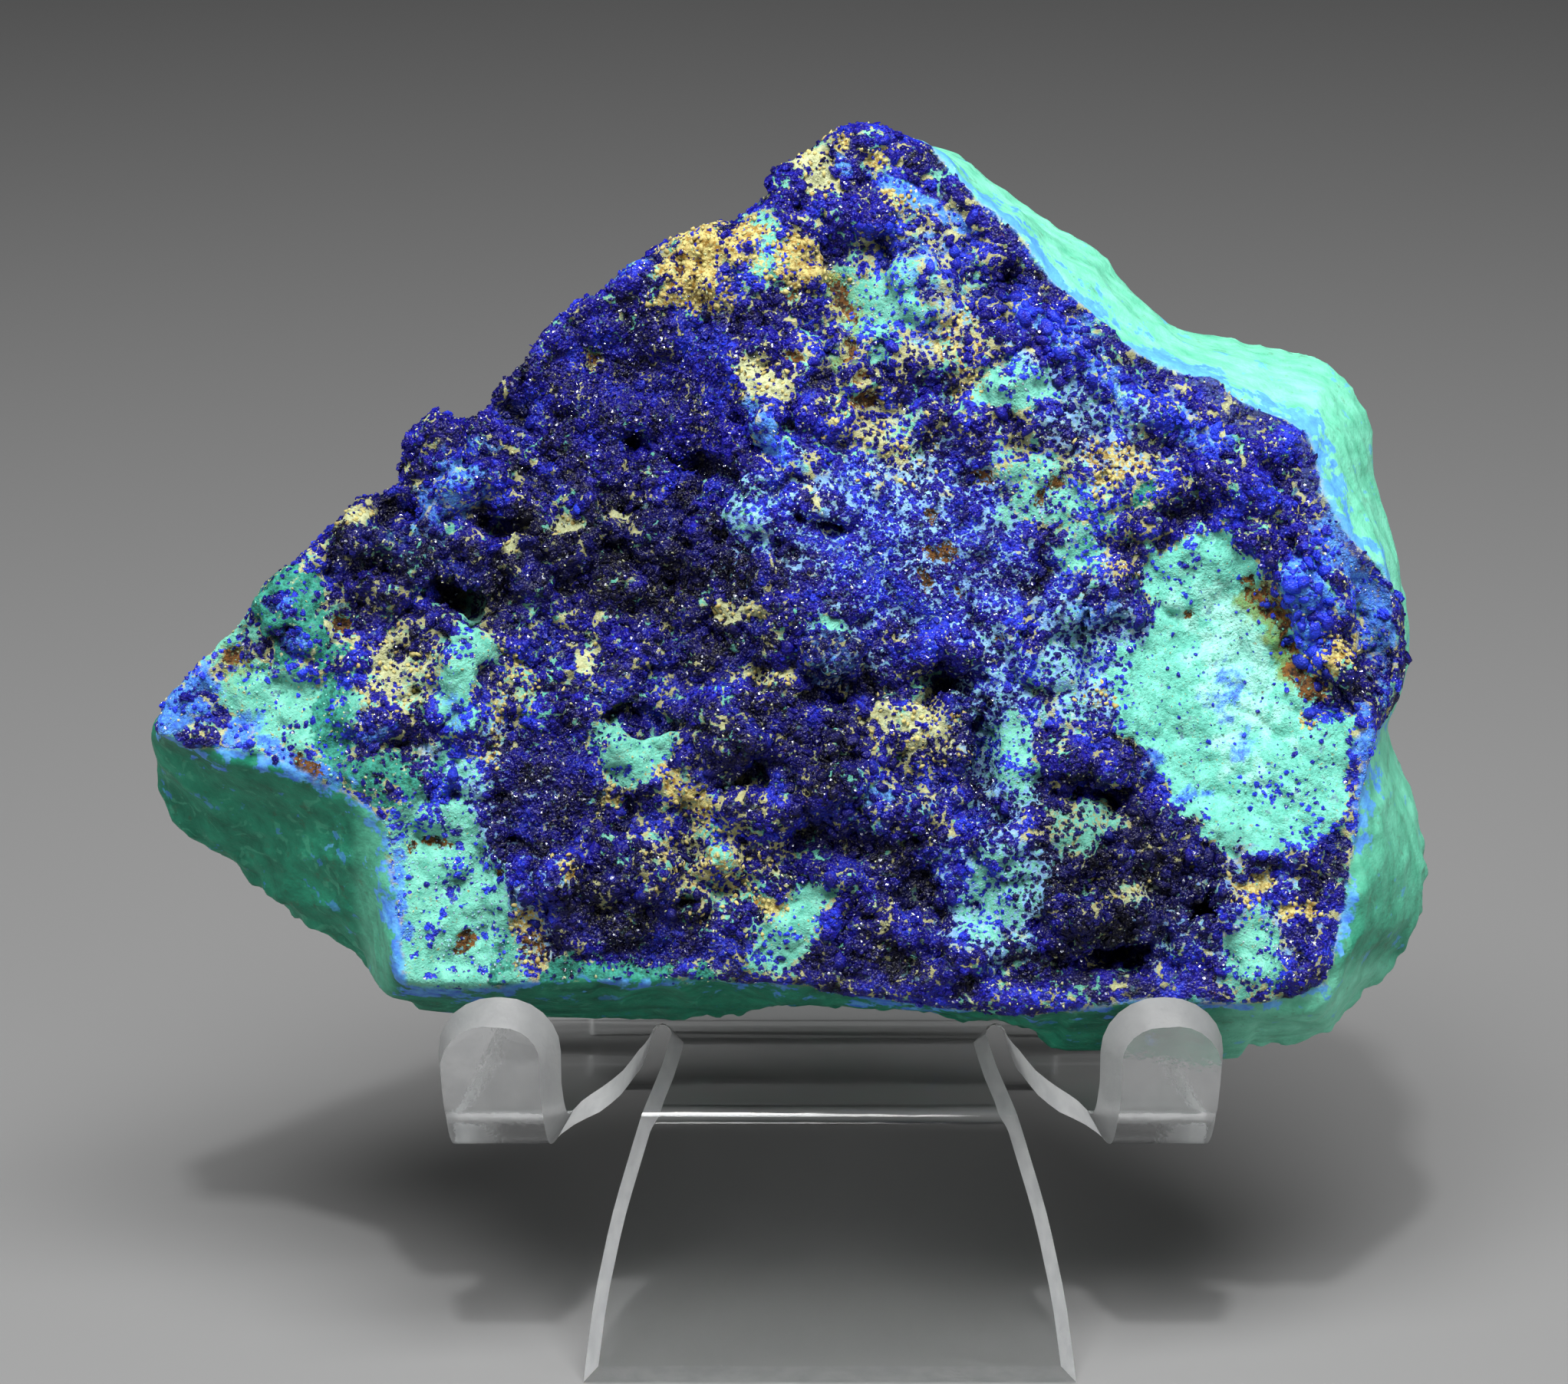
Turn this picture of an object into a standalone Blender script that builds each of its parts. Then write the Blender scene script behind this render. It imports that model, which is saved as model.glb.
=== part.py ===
"""Azurite crust on malachite, leaning in a clear hot-bent sheet stand.

The stone is one solid and the stand is one solid. World axes: +X to the right,
+Y away from the viewer, +Z up. The stone is laid out in its own face frame:
u to the right, v up the face, w into the stone from its front face.
"""
import math

import bmesh
import bpy
import numpy as np
from mathutils import Matrix, Vector, noise

MM = 0.001

# Driving dimensions, in millimetres and degrees.
LEAN_DEG = 20.0                # stone and backrest lean back from upright
GAP = 0.3                      # left between the stone and what carries it

SHEET_THICKNESS = 2.2
LIP_DRAFT = 1.4                # the lips' edges slant, so their front face is the smaller
LEDGE_DRAFT = 0.25
APRON_DRAFT = 0.9
OUTER_DRAFT = 0.3
BEND_START = (15.6, 21.0)      # y, z of the backrest's front surface where the bends begin
INNER_BEND_RADIUS = 2.5
BACKREST_LENGTH = 37.0
TOP_FOLD_RADIUS = 5.0
REAR_LEG_DEG = 14.0            # rear leg away from upright
ARM_DROP_DEG = 5.0             # ledge of each arm runs slightly down to the front
LIP_REAR_Y = 2.2               # rear surface of the upturned lips
LIP_BEND_RADIUS = 1.6
LIP_TOP_Z = 28.4
APRON_SLOPE_DEG = 30.0         # first part of the apron below the horizontal
APRON_SLOPE_LENGTH = 6.0
APRON_BEND_RADIUS = 4.0
APRON_LEG_DEG = 28.0           # front foot away from upright
BEND_STEP_DEG = 9.0            # one flat strip of a bend

REAR_LEG_EXTRA = 25.0          # the rear leg is longer than the front one
TOP_FOLD_LENGTH = 13.0         # the sheet narrows a little over the fold at its top
TOP_FOLD_DRAW_IN = 0.5

FLOOR_DROP = 1.3               # the floor lies this far below the level that heights count from
FACE_W = -7.5                  # front face plane, from the plane through the front foot
GIRDLE_DEPTH = 10.0            # the stone is widest here
BACK_DEPTH = 14.4
BACKREST_REACH = 26.5          # the back is kept clear of the stand this far from the middle
BACK_DRAW_IN = 2.4             # back outline inside the girdle
VOXEL = 0.75
STONE_TRIANGLES = 8600
ROUNDING = 0.6                 # how far the outlines curve between their stations, 0 to 1

# Noise over the stone: feature size, height, seed.
FACE_SWELLS = (5.5, 0.5, 1)
FACE_CLUMPS = (3.4, 0.65, 2)
FACE_GRAIN = (2.2, 0.2, 3)
BACK_WAVES = (9.0, 0.7, 4)
SIDE_WAVE = 0.25               # height of the same waves on the sides
FINE_WAVES = (3.6, 0.15, 5)
BREAK_WAVES = (6.0, 0.5, 6)
CLUMP_STEEPNESS = 1.6
SMOOTH_PATCH = (28.5, 49.0, 8.0, 12.0, 10.0)
SMOOTH_PATCH_CALM = 0.85       # share of the relief that the bare patch loses
FACE_DEPTH = 3.5               # relief fades out this far behind the face plane
FACING_GAIN = 1.4
FACING_LEAST = 0.35
ENDS_SWELL = (2.0, 24.0, 12.0, 3.2)    # middle, start and run of the thicker ends, then height
TOP_SWELL = (66.0, 12.0, 2.0)          # start and run of the thicker top, then height

# Where the stone must stay clear of the stand.
ABOVE_BACKREST = 8.0
LIP_REACH = (18.6, 29.6)
ABOVE_LIP = 0.8
ARM_REACH = (11.0, 29.5)
LEDGE_Z = 19.4                 # top of the arms where the bend to the backrest begins
LEDGE_BEND_Y = 13.45
LEDGE_BEND_RISE = 0.36         # the bend rises with the square of the distance into it
LEDGE_MARGIN = 0.1

SIN = math.sin(math.radians(LEAN_DEG))
COS = math.cos(math.radians(LEAN_DEG))

# Stations clockwise round the stone from its peak: the edge of the blue face, then the girdle.
TOP_RIGHT_SLOPE = [
    ((2.5, 90.6), (2.5, 90.4)), ((6.5, 89.3), (6.5, 90.2)), ((8.8, 88.2), (9.5, 89.8)),
    ((10.8, 85.4), (14.0, 87.0)), ((15.3, 80.9), (19.7, 83.1)), ((19.3, 76.9), (24.0, 79.0)),
    ((23.3, 74.0), (26.5, 76.5)), ((28.4, 71.8), (31.0, 75.8)), ((33.5, 68.9), (37.5, 74.9)),
]
RIGHT_SIDE = [
    ((35.3, 65.5), (40.5, 71.3)), ((36.3, 63.3), (41.0, 66.5)), ((38.5, 60.2), (42.3, 62.3)),
    ((40.3, 57.6), (43.0, 57.5)), ((41.0, 54.5), (43.2, 53.0)), ((40.6, 50.5), (43.0, 48.5)),
    ((39.2, 46.8), (42.1, 46.9)), ((38.6, 42.0), (43.3, 42.5)), ((38.6, 38.0), (45.2, 36.3)),
    ((38.2, 33.5), (43.9, 31.7)), ((37.0, 29.0), (40.8, 27.5)),
]
UNDERSIDE = [
    ((35.5, 26.6), (37.5, 23.4)), ((31.5, 26.7), (32.0, 22.4)), ((27.0, 27.0), (27.5, 21.5)),
    ((22.0, 26.8), (23.5, 22.8)), ((16.5, 26.4), (17.3, 22.5)), ((11.0, 26.6), (12.0, 24.8)),
    ((5.0, 27.3), (5.0, 25.0)), ((-1.1, 28.1), (-2.4, 25.2)), ((-9.0, 28.6), (-9.5, 24.8)),
    ((-16.5, 28.4), (-16.5, 24.8)), ((-24.0, 28.1), (-24.0, 25.0)),
]
LOWER_LEFT = [
    ((-31.3, 28.6), (-33.5, 26.4)), ((-31.7, 32.6), (-35.5, 30.4)), ((-32.3, 38.3), (-41.0, 33.2)),
    ((-33.5, 41.1), (-45.5, 36.9)), ((-39.1, 44.0), (-49.3, 39.2)), ((-44.8, 45.1), (-50.5, 42.0)),
    ((-48.8, 46.2), (-50.7, 45.9)), ((-48.8, 47.6), (-50.0, 47.5)),
]
TOP_LEFT_SLOPE = [
    ((-47.1, 50.2), (-47.0, 49.5)), ((-43.1, 54.8), (-42.5, 54.3)), ((-41.2, 57.6), (-40.3, 57.0)),
    ((-37.0, 60.0), (-36.5, 59.0)), ((-34.8, 63.2), (-33.8, 62.2)), ((-30.8, 65.0), (-30.0, 64.0)),
    ((-30.6, 68.3), (-28.8, 67.3)), ((-28.5, 69.7), (-26.5, 68.5)), ((-26.1, 69.5), (-24.5, 69.3)),
    ((-23.8, 71.8), (-22.5, 71.2)), ((-20.4, 76.2), (-19.0, 75.5)), ((-17.0, 78.6), (-15.5, 77.8)),
    ((-11.9, 82.0), (-10.5, 81.2)), ((-4.3, 85.3), (-3.5, 84.6)), ((-3.6, 87.3), (-2.6, 86.8)),
    ((-0.5, 89.6), (0.0, 89.3)),
]
STATIONS = TOP_RIGHT_SLOPE + RIGHT_SIDE + UNDERSIDE + LOWER_LEFT + TOP_LEFT_SLOPE
STONE_CENTRE = (-3.0, 52.0)

# Broken faces round the back rim: way out of the stone in u, v, w, then how far from its centre.
STONE_MIDDLE = (-3.0, 52.0, 7.0)
BROKEN_FACES = {
    "top back": ((-0.35, 0.62, 0.70), 25.5),
    "upper right back": ((0.55, 0.45, 0.70), 34.3),
    "right back": ((0.80, -0.10, 0.60), 42.2),
    "lower right back": ((0.52, -0.50, 0.70), 36.9),
    "far left back": ((-0.72, -0.05, 0.69), 37.0),
    "lower left back": ((-0.55, -0.52, 0.65), 34.2),
    "upper left back": ((-0.66, 0.50, 0.56), 28.5),
    "upper left side": ((-0.60, 0.72, 0.34), 34.5),
}

# Relief of the front face: centre u, v, half-widths, turn in degrees, height towards the viewer.
BROAD_FORMS = {
    "spine from the ochre to the lobe": (-3.0, 66.0, 7.0, 20.0, 8.0, 1.9),
    "dark slope left of the spine": (-16.0, 68.0, 11.0, 12.0, 20.0, -1.5),
    "hollow at the middle left": (-15.0, 55.0, 9.0, 7.0, 0.0, -1.3),
    "swell of the upper right": (15.0, 70.0, 11.0, 8.0, -40.0, 0.9),
    "speckled field": (6.0, 58.0, 9.0, 8.0, 0.0, 0.5),
    "pale plateau on the right": (28.0, 50.0, 8.0, 12.0, 10.0, -1.1),
    "knobbly belly": (-3.5, 44.5, 10.0, 6.5, -8.0, 2.1),
    "lower left knobs": (-17.0, 36.0, 8.0, 5.5, 10.0, 1.3),
    "lower right shelf": (17.0, 36.5, 8.0, 5.0, 0.0, 1.3),
    "pale lower left corner": (-28.0, 34.0, 4.5, 8.0, 0.0, -0.9),
    "left wing": (-42.0, 49.5, 7.5, 6.0, 35.0, -1.2),
    "steep right rim": (40.0, 53.0, 3.2, 9.0, 12.0, -2.6),
    "peak": (3.0, 86.0, 5.0, 5.0, 0.0, 0.6),
}
LUMPS = {
    "hooked lump": (-33.2, 60.6, 4.4, 2.5, -28.0, 2.3),
    "horn above it": (-28.4, 67.3, 2.7, 2.9, 0.0, 2.0),
    "teal ridge": (-27.6, 63.0, 1.9, 6.0, -35.0, 1.5),
    "raised pale nub": (-26.6, 50.8, 2.3, 5.2, -6.0, 1.7),
    "green grape cluster": (-39.4, 54.6, 3.4, 4.6, 25.0, 1.3),
    "blue cluster at the wing": (-33.6, 47.2, 2.6, 2.6, 0.0, 1.3),
    "green ledge at the corner": (-32.6, 43.4, 4.6, 1.9, -12.0, 1.1),
    "ridge flake": (-4.4, 68.4, 0.9, 2.9, 22.0, 1.3),
    "ochre mound": (-8.8, 80.4, 3.7, 3.5, 0.0, 0.8),
    "second ochre mound": (-2.1, 80.2, 2.7, 2.6, 0.0, 0.8),
    "knobs below the peak": (6.4, 79.0, 2.9, 5.0, 18.0, 1.5),
    "knob at the peak": (2.6, 83.0, 1.9, 2.1, 0.0, 1.0),
    "crest of the upper right": (19.6, 72.6, 7.8, 2.0, -38.0, 1.0),
    "turquoise lump": (13.2, 71.6, 2.5, 1.9, 15.0, 1.2),
    "right crest": (29.5, 64.6, 5.4, 2.2, -30.0, 1.2),
    "pierced lump": (20.2, 56.5, 3.6, 2.9, 0.0, 2.0),
    "bright lobe": (0.4, 51.9, 2.9, 2.0, -15.0, 1.9),
    "twisted lumps": (34.0, 55.9, 1.9, 3.2, 18.0, 1.7),
    "tan knob": (36.6, 51.8, 1.7, 2.0, 0.0, 1.2),
    "left belly knob": (-6.8, 46.9, 3.8, 3.8, 0.0, 1.6),
    "right belly knob": (-0.2, 44.8, 3.8, 2.7, -10.0, 1.4),
    "knob below the belly": (4.4, 40.2, 3.2, 2.6, 20.0, 1.5),
    "knobs left of the belly": (-14.0, 52.0, 3.2, 2.2, 15.0, 0.9),
    "turquoise nub": (-14.6, 45.2, 2.6, 2.0, 0.0, 1.4),
    "small turquoise nub": (-8.2, 37.6, 1.2, 1.3, 0.0, 1.0),
    "left lower knob": (-20.6, 36.6, 3.0, 2.6, 0.0, 1.1),
    "middle lower knob": (-13.6, 36.4, 3.2, 2.6, 0.0, 1.1),
    "knob at the bottom": (10.0, 30.6, 3.8, 2.0, 0.0, 1.1),
    "upper shelf": (18.0, 44.2, 5.4, 1.8, -6.0, 1.5),
    "shelf": (20.4, 33.4, 5.6, 1.7, -8.0, 2.0),
    "ledge above the column": (32.6, 37.6, 5.0, 1.2, 14.0, 1.6),
    "turquoise column": (30.4, 31.0, 1.7, 4.4, 4.0, 0.7),
    "lump at the lower right": (34.2, 31.0, 2.2, 4.0, 0.0, 1.3),
}
HOLLOWS = {
    "mouth of the hooked lump": (-32.4, 58.7, 1.6, 1.3, 0.0, 2.6),
    "shade below the hooked lump": (-27.6, 56.4, 3.0, 1.1, -12.0, 2.2),
    "cleft left of the flake": (-5.6, 67.9, 0.8, 2.2, 22.0, 1.6),
    "cleft in the dark slope": (-13.6, 67.4, 2.0, 1.0, -10.0, 1.7),
    "second cleft": (-10.4, 66.2, 2.0, 0.9, -15.0, 1.5),
    "cleft at the far left": (-23.6, 61.6, 1.8, 1.0, 25.0, 1.6),
    "cleft in the middle": (-14.8, 62.6, 1.4, 0.9, 0.0, 1.3),
    "slot above the lobe": (0.2, 61.3, 2.0, 0.7, -10.0, 1.3),
    "hole of the pierced lump": (18.8, 55.6, 0.9, 0.8, 0.0, 2.4),
    "shade below the pierced lump": (17.6, 53.6, 3.0, 1.0, 15.0, 1.1),
    "cavity below the lobe": (0.5, 48.9, 2.7, 1.5, 0.0, 2.7),
    "valley right of the lobe": (8.3, 50.2, 3.9, 1.6, 6.0, 2.0),
    "valley down from it": (11.0, 45.4, 1.5, 4.2, 4.0, 1.9),
    "crevice left of the belly": (-14.4, 47.5, 2.6, 0.8, 6.0, 1.3),
    "crevice under the left knob": (-6.8, 42.6, 3.0, 0.9, 10.0, 1.7),
    "recess under the upper shelf": (19.6, 41.9, 3.4, 1.3, -4.0, 2.0),
    "recess under the shelf": (19.8, 30.3, 4.4, 1.4, 0.0, 2.6),
    "cavity beside the shelf": (26.9, 33.8, 1.9, 1.1, 10.0, 2.4),
    "dark undercut at the bottom left": (-13.6, 30.4, 6.0, 1.5, 0.0, 1.3),
    "streak left of the twisted lumps": (32.6, 51.6, 0.8, 4.4, -32.0, 0.8),
    "recess under the twisted lumps": (36.4, 48.2, 1.8, 1.0, 0.0, 1.3),
}

# The sheet laid flat: distance down the sheet from the bend line, then half-width in x.
APRON_EDGE = [(1.5, 11.9), (4.5, 12.6), (8.8, 14.0), (12.5, 15.1), (16.0, 16.1), (19.6, 16.9),
              (23.4, 17.6), (30.0, 18.4)]
ARM_INNER_EDGE = [(1.5, 13.4), (3.4, 14.3), (6.5, 15.4), (9.0, 16.9), (11.0, 18.3), (13.5, 19.2),
                  (16.5, 19.6)]
OUTER_EDGE = [(19.0, 28.5), (15.5, 28.3), (12.5, 27.6), (8.0, 26.6), (3.0, 25.5), (-4.0, 24.8)]
BACKREST_TOP_HALF = 19.0
REAR_FOOT_HALF = 20.0
LEDGE_TO_LIP = (9.0, 14.0)      # the slant grows along this stretch of an arm
LIP_CORNER_RADIUS = 4.2
SHEET_END = 40.0               # both feet run past the floor and are cut off level with it


def clear_scene():
    for old in list(bpy.data.objects):
        bpy.data.objects.remove(old, do_unlink=True)


def new_collection(name):
    group = bpy.data.collections.new(name)
    bpy.context.scene.collection.children.link(group)
    return group


def principled(name, colour, roughness, transmission=0.0, ior=1.5):
    material = bpy.data.materials.new(name)
    material.use_nodes = True
    shader = material.node_tree.nodes["Principled BSDF"]
    shader.inputs["Base Color"].default_value = (*colour, 1.0)
    shader.inputs["Roughness"].default_value = roughness
    shader.inputs["Metallic"].default_value = 0.0
    shader.inputs["Transmission Weight"].default_value = transmission
    shader.inputs["IOR"].default_value = ior
    return material


def add_object(name, mesh, group, material):
    piece = bpy.data.objects.new(name, mesh)
    piece.data.materials.append(material)
    group.objects.link(piece)
    return piece


def applied_mesh(name, mesh, add_modifiers):
    """A copy of the mesh with the modifiers that add_modifiers puts on it."""
    holder = bpy.data.objects.new(name + "_work", mesh)
    bpy.context.scene.collection.objects.link(holder)
    add_modifiers(holder)
    graph = bpy.context.evaluated_depsgraph_get()
    result = bpy.data.meshes.new_from_object(holder.evaluated_get(graph))
    bpy.data.objects.remove(holder, do_unlink=True)
    return result


# The stone --------------------------------------------------------------------------------


def smooth_ring(points, per_span=3):
    """Closed ring through the points, rounded a little between them."""
    ring = []
    count = len(points)
    for i in range(count):
        before, start, end, after = (np.array(points[(i + k) % count]) for k in (-1, 0, 1, 2))
        for step in range(per_span):
            t = step / per_span
            curve = 0.5 * (2 * start + (end - before) * t
                           + (2 * before - 5 * start + 4 * end - after) * t ** 2
                           + (3 * start - before - 3 * end + after) * t ** 3)
            ring.append(ROUNDING * curve + (1.0 - ROUNDING) * (start + (end - start) * t))
    return np.array(ring)


def stone_blank():
    """Loft from the face outline through the girdle to the back outline, closed by flat caps."""
    front = smooth_ring([station[0] for station in STATIONS])
    girdle = smooth_ring([station[1] for station in STATIONS])
    inward = np.array(STONE_CENTRE) - girdle
    inward /= np.linalg.norm(inward, axis=1)[:, None]
    back = girdle + inward * BACK_DRAW_IN
    shape = bmesh.new()
    rings = []
    for outline, depth in ((front, 0.0), (girdle, GIRDLE_DEPTH), (back, BACK_DEPTH)):
        rings.append([shape.verts.new((u, v, depth)) for u, v in outline])
    count = len(front)
    for near, far in zip(rings, rings[1:]):
        for i in range(count):
            shape.faces.new((near[i], near[(i + 1) % count], far[(i + 1) % count], far[i]))
    shape.faces.new(rings[0])
    shape.faces.new(rings[-1])
    bmesh.ops.triangulate(shape, faces=shape.faces[:])
    bmesh.ops.recalc_face_normals(shape, faces=shape.faces[:])
    mesh = bpy.data.meshes.new("stone_blank")
    shape.to_mesh(mesh)
    shape.free()
    return mesh


def remesh_evenly(holder):
    remesh = holder.modifiers.new("even_faces", "REMESH")
    remesh.mode = "VOXEL"
    remesh.voxel_size = VOXEL


def thin_out(holder):
    thin = holder.modifiers.new("fewer_faces", "DECIMATE")
    faces = sum(len(face.vertices) - 2 for face in holder.data.polygons)
    thin.ratio = STONE_TRIANGLES / faces


def mound(u, v, form):
    """One at the middle of the form, easing to nothing at its rim."""
    centre_u, centre_v, half_u, half_v, turn = form[:5]
    angle = math.radians(turn)
    along = (u - centre_u) * math.cos(angle) + (v - centre_v) * math.sin(angle)
    across = (v - centre_v) * math.cos(angle) - (u - centre_u) * math.sin(angle)
    inside = np.clip(1.0 - (along / half_u) ** 2 - (across / half_v) ** 2, 0.0, None)
    return inside ** 2 * (3.0 - 2.0 * inside)


def field(points, waves):
    """Smooth noise at each point, given its feature size, height and seed."""
    size, height, seed = waves
    offset = Vector((seed * 7.1, seed * 3.7, seed * 5.3))
    return height * np.array([noise.noise(Vector(point) / size + offset) for point in points])


def cells(points, clumps):
    """Rounded knobs, highest at each cell's middle and lowest where cells meet."""
    size, height, seed = clumps
    offset = Vector((seed * 4.3, seed * 9.1, seed * 2.9))
    near = [noise.voronoi(Vector(point) / size + offset)[0] for point in points]
    rise = np.array([min(1.0, (gaps[1] - gaps[0]) * CLUMP_STEEPNESS) for gaps in near])
    return height * (rise - 0.5)


def face_height(points):
    """How far the blue face stands towards the viewer at each point."""
    u, v = points[:, 0], points[:, 1]
    height = np.zeros(len(points))
    for form in BROAD_FORMS.values():
        height += form[5] * mound(u, v, form)
    for form in LUMPS.values():
        height += form[5] * mound(u, v, form)
    for form in HOLLOWS.values():
        height -= form[5] * mound(u, v, form)
    calm = np.clip(mound(u, v, SMOOTH_PATCH) * 1.6, 0.0, 1.0)
    crust = field(points, FACE_SWELLS) + cells(points, FACE_CLUMPS) + field(points, FACE_GRAIN)
    return height + crust * (1.0 - SMOOTH_PATCH_CALM * calm)


def break_off(points, kept):
    """Flatten what stands beyond each broken face onto it, except near the blue face."""
    for way_out, distance in BROKEN_FACES.values():
        way_out = np.array(way_out) / np.linalg.norm(way_out)
        uneven = field(points, BREAK_WAVES)
        beyond = (points - np.array(STONE_MIDDLE)) @ way_out - distance - uneven
        points = points - way_out * (np.clip(beyond, 0.0, None) * (1.0 - kept))[:, None]
    return points


def roughen(mesh):
    """Raise the front relief and give the broken sides and back their low waves."""
    count = len(mesh.vertices)
    points = np.empty(count * 3)
    mesh.vertices.foreach_get("co", points)
    points = points.reshape(count, 3)
    normals = np.array([vertex.normal[:] for vertex in mesh.vertices])
    near_face = np.clip(1.0 - points[:, 2] / FACE_DEPTH, 0.0, 1.0)
    near_face = near_face * near_face * (3.0 - 2.0 * near_face)
    facing = np.clip(-normals[:, 2] * FACING_GAIN, FACING_LEAST, 1.0)
    raised = face_height(points) * near_face * facing
    behind = np.clip(points[:, 2] / BACK_DEPTH, 0.0, 1.0) ** 2
    back_waves = field(points, BACK_WAVES)
    waves = back_waves * (SIDE_WAVE / BACK_WAVES[1] + behind) + field(points, FINE_WAVES)
    waves *= 1.0 - near_face
    middle, start, run, height = ENDS_SWELL
    off_centre = np.abs(points[:, 0] + middle)
    swell = height * np.clip((off_centre - start) / run, 0.0, 1.0)
    start, run, height = TOP_SWELL
    swell += height * np.clip((points[:, 1] - start) / run, 0.0, 1.0)
    waves += swell * behind * np.clip(normals[:, 2], 0.0, 1.0)
    moved = points + normals * waves[:, None]
    moved[:, 2] -= raised
    moved = break_off(moved, near_face)
    mesh.vertices.foreach_set("co", moved.ravel())
    mesh.update()


def to_world(points):
    u, v, w = points[:, 0], points[:, 1], points[:, 2] + FACE_W
    return np.column_stack((u, v * SIN + w * COS, v * COS - w * SIN))


def seat(points):
    """Keep the stone a gap away from the lips, the ledges and the backrest."""
    side, y, z = np.abs(points[:, 0]), points[:, 1].copy(), points[:, 2].copy()
    bend_y, bend_z = BEND_START
    backrest_y = bend_y + (z - bend_z) * SIN / COS - GAP / COS
    above_backrest = bend_z + BACKREST_LENGTH * COS + ABOVE_BACKREST
    on_backrest = (side < BACKREST_REACH) & (z < above_backrest)
    y = np.where(on_backrest, np.minimum(y, backrest_y), y)
    at_lips = (side > LIP_REACH[0]) & (side < LIP_REACH[1]) & (z < LIP_TOP_Z + ABOVE_LIP)
    y = np.where(at_lips, np.maximum(y, LIP_REAR_Y + GAP), y)
    drop = math.tan(math.radians(ARM_DROP_DEG))
    before_bend = np.clip(LEDGE_BEND_Y - y, 0.0, None)
    in_bend = np.clip(y - LEDGE_BEND_Y, 0.0, None)
    ledge_z = LEDGE_Z - before_bend * drop + in_bend ** 2 * LEDGE_BEND_RISE
    on_arms = (side > ARM_REACH[0]) & (side < ARM_REACH[1]) & (y < bend_y + GAP)
    z = np.where(on_arms, np.maximum(z, ledge_z + GAP + LEDGE_MARGIN), z)
    return np.column_stack((points[:, 0], y, z))


def make_stone(group, material):
    blank = applied_mesh("stone", stone_blank(), remesh_evenly)
    roughen(blank)
    stone = applied_mesh("stone", blank, thin_out)
    count = len(stone.vertices)
    points = np.empty(count * 3)
    stone.vertices.foreach_get("co", points)
    placed = seat(to_world(points.reshape(count, 3)))
    placed = (placed + (0.0, 0.0, FLOOR_DROP)) * MM
    stone.vertices.foreach_set("co", placed.ravel())
    stone.update()
    stone.name = "azurite_malachite_stone"
    shape = bmesh.new()
    shape.from_mesh(stone)
    bmesh.ops.triangulate(shape, faces=shape.faces[:])
    bmesh.ops.recalc_face_normals(shape, faces=shape.faces[:])
    shape.to_mesh(stone)
    shape.free()
    return add_object("azurite_malachite_stone", stone, group, material)


# The stand --------------------------------------------------------------------------------


class Path:
    """Side view of the sheet's stone-side surface: straight runs and bends, as short strips."""

    def __init__(self, start, heading_deg, direction):
        self.direction = direction
        self.nodes = [(0.0, np.array(start), heading_deg)]

    def run(self, length):
        distance, point, heading = self.nodes[-1]
        step = np.array((math.cos(math.radians(heading)), math.sin(math.radians(heading))))
        self.nodes.append((distance + length, point + step * length, heading))
        return self

    def bend(self, turn_deg, radius):
        strips = max(1, round(abs(turn_deg) / BEND_STEP_DEG))
        part = turn_deg / strips
        chord = 2.0 * radius * math.sin(math.radians(abs(part)) / 2.0)
        for _ in range(strips):
            distance, point, heading = self.nodes[-1]
            self.nodes[-1] = (distance, point, heading + part / 2.0)
            self.run(chord)
            distance, point, heading = self.nodes[-1]
            self.nodes[-1] = (distance, point, heading + part / 2.0)
        return self

    def breaks(self):
        return [self.direction * node[0] for node in self.nodes[1:-1]]

    def place(self, distance, depth):
        """Point at a distance along the sheet and a depth below its stone-side surface."""
        travelled = max(0.0, self.direction * distance)
        index = 1
        while index < len(self.nodes) - 1 and self.nodes[index][0] < travelled - 1e-6:
            index += 1
        (d0, p0, _), (d1, p1, _) = self.nodes[index - 1], self.nodes[index]
        share = (travelled - d0) / (d1 - d0)
        spot = p0 + (p1 - p0) * share
        normal0, normal1 = self.mitre(index - 1), self.mitre(index)
        return spot + (normal0 + (normal1 - normal0) * share) * depth

    def mitre(self, index):
        """Offset direction at a node, so that the far surface of each strip stays flat."""
        sides = []
        for low in (index - 1, index):
            if 0 <= low < len(self.nodes) - 1:
                along = self.nodes[low + 1][1] - self.nodes[low][1]
                along = along / np.linalg.norm(along)
                sides.append(np.array((along[1], -along[0])) * self.direction)
        mean = sum(sides) / len(sides)
        return mean / np.dot(mean, mean) if len(sides) == 2 else mean


def arm_path():
    path = Path(BEND_START, -90.0 - LEAN_DEG, 1.0)
    path.bend(-(90.0 - LEAN_DEG - ARM_DROP_DEG), INNER_BEND_RADIUS)
    lip_turn = 90.0 + ARM_DROP_DEG
    drop = math.radians(ARM_DROP_DEG)
    to_lip = path.nodes[-1][1][0] - LIP_REAR_Y - LIP_BEND_RADIUS * (1.0 + math.sin(drop))
    path.run(to_lip / math.cos(drop))
    path.bend(-lip_turn, LIP_BEND_RADIUS)
    path.run(LIP_TOP_Z - path.nodes[-1][1][1])
    return path


def apron_path():
    path = Path(BEND_START, -90.0 - LEAN_DEG, 1.0)
    path.bend(-(90.0 - LEAN_DEG - APRON_SLOPE_DEG), INNER_BEND_RADIUS)
    path.run(APRON_SLOPE_LENGTH)
    path.bend(90.0 - APRON_SLOPE_DEG - APRON_LEG_DEG, APRON_BEND_RADIUS)
    path.run(SHEET_END)
    return path


def rear_path():
    path = Path(BEND_START, 90.0 - LEAN_DEG, -1.0)
    path.run(BACKREST_LENGTH)
    path.bend(-(180.0 - LEAN_DEG - REAR_LEG_DEG), TOP_FOLD_RADIUS)
    path.run(SHEET_END + REAR_LEG_EXTRA)
    return path


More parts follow.
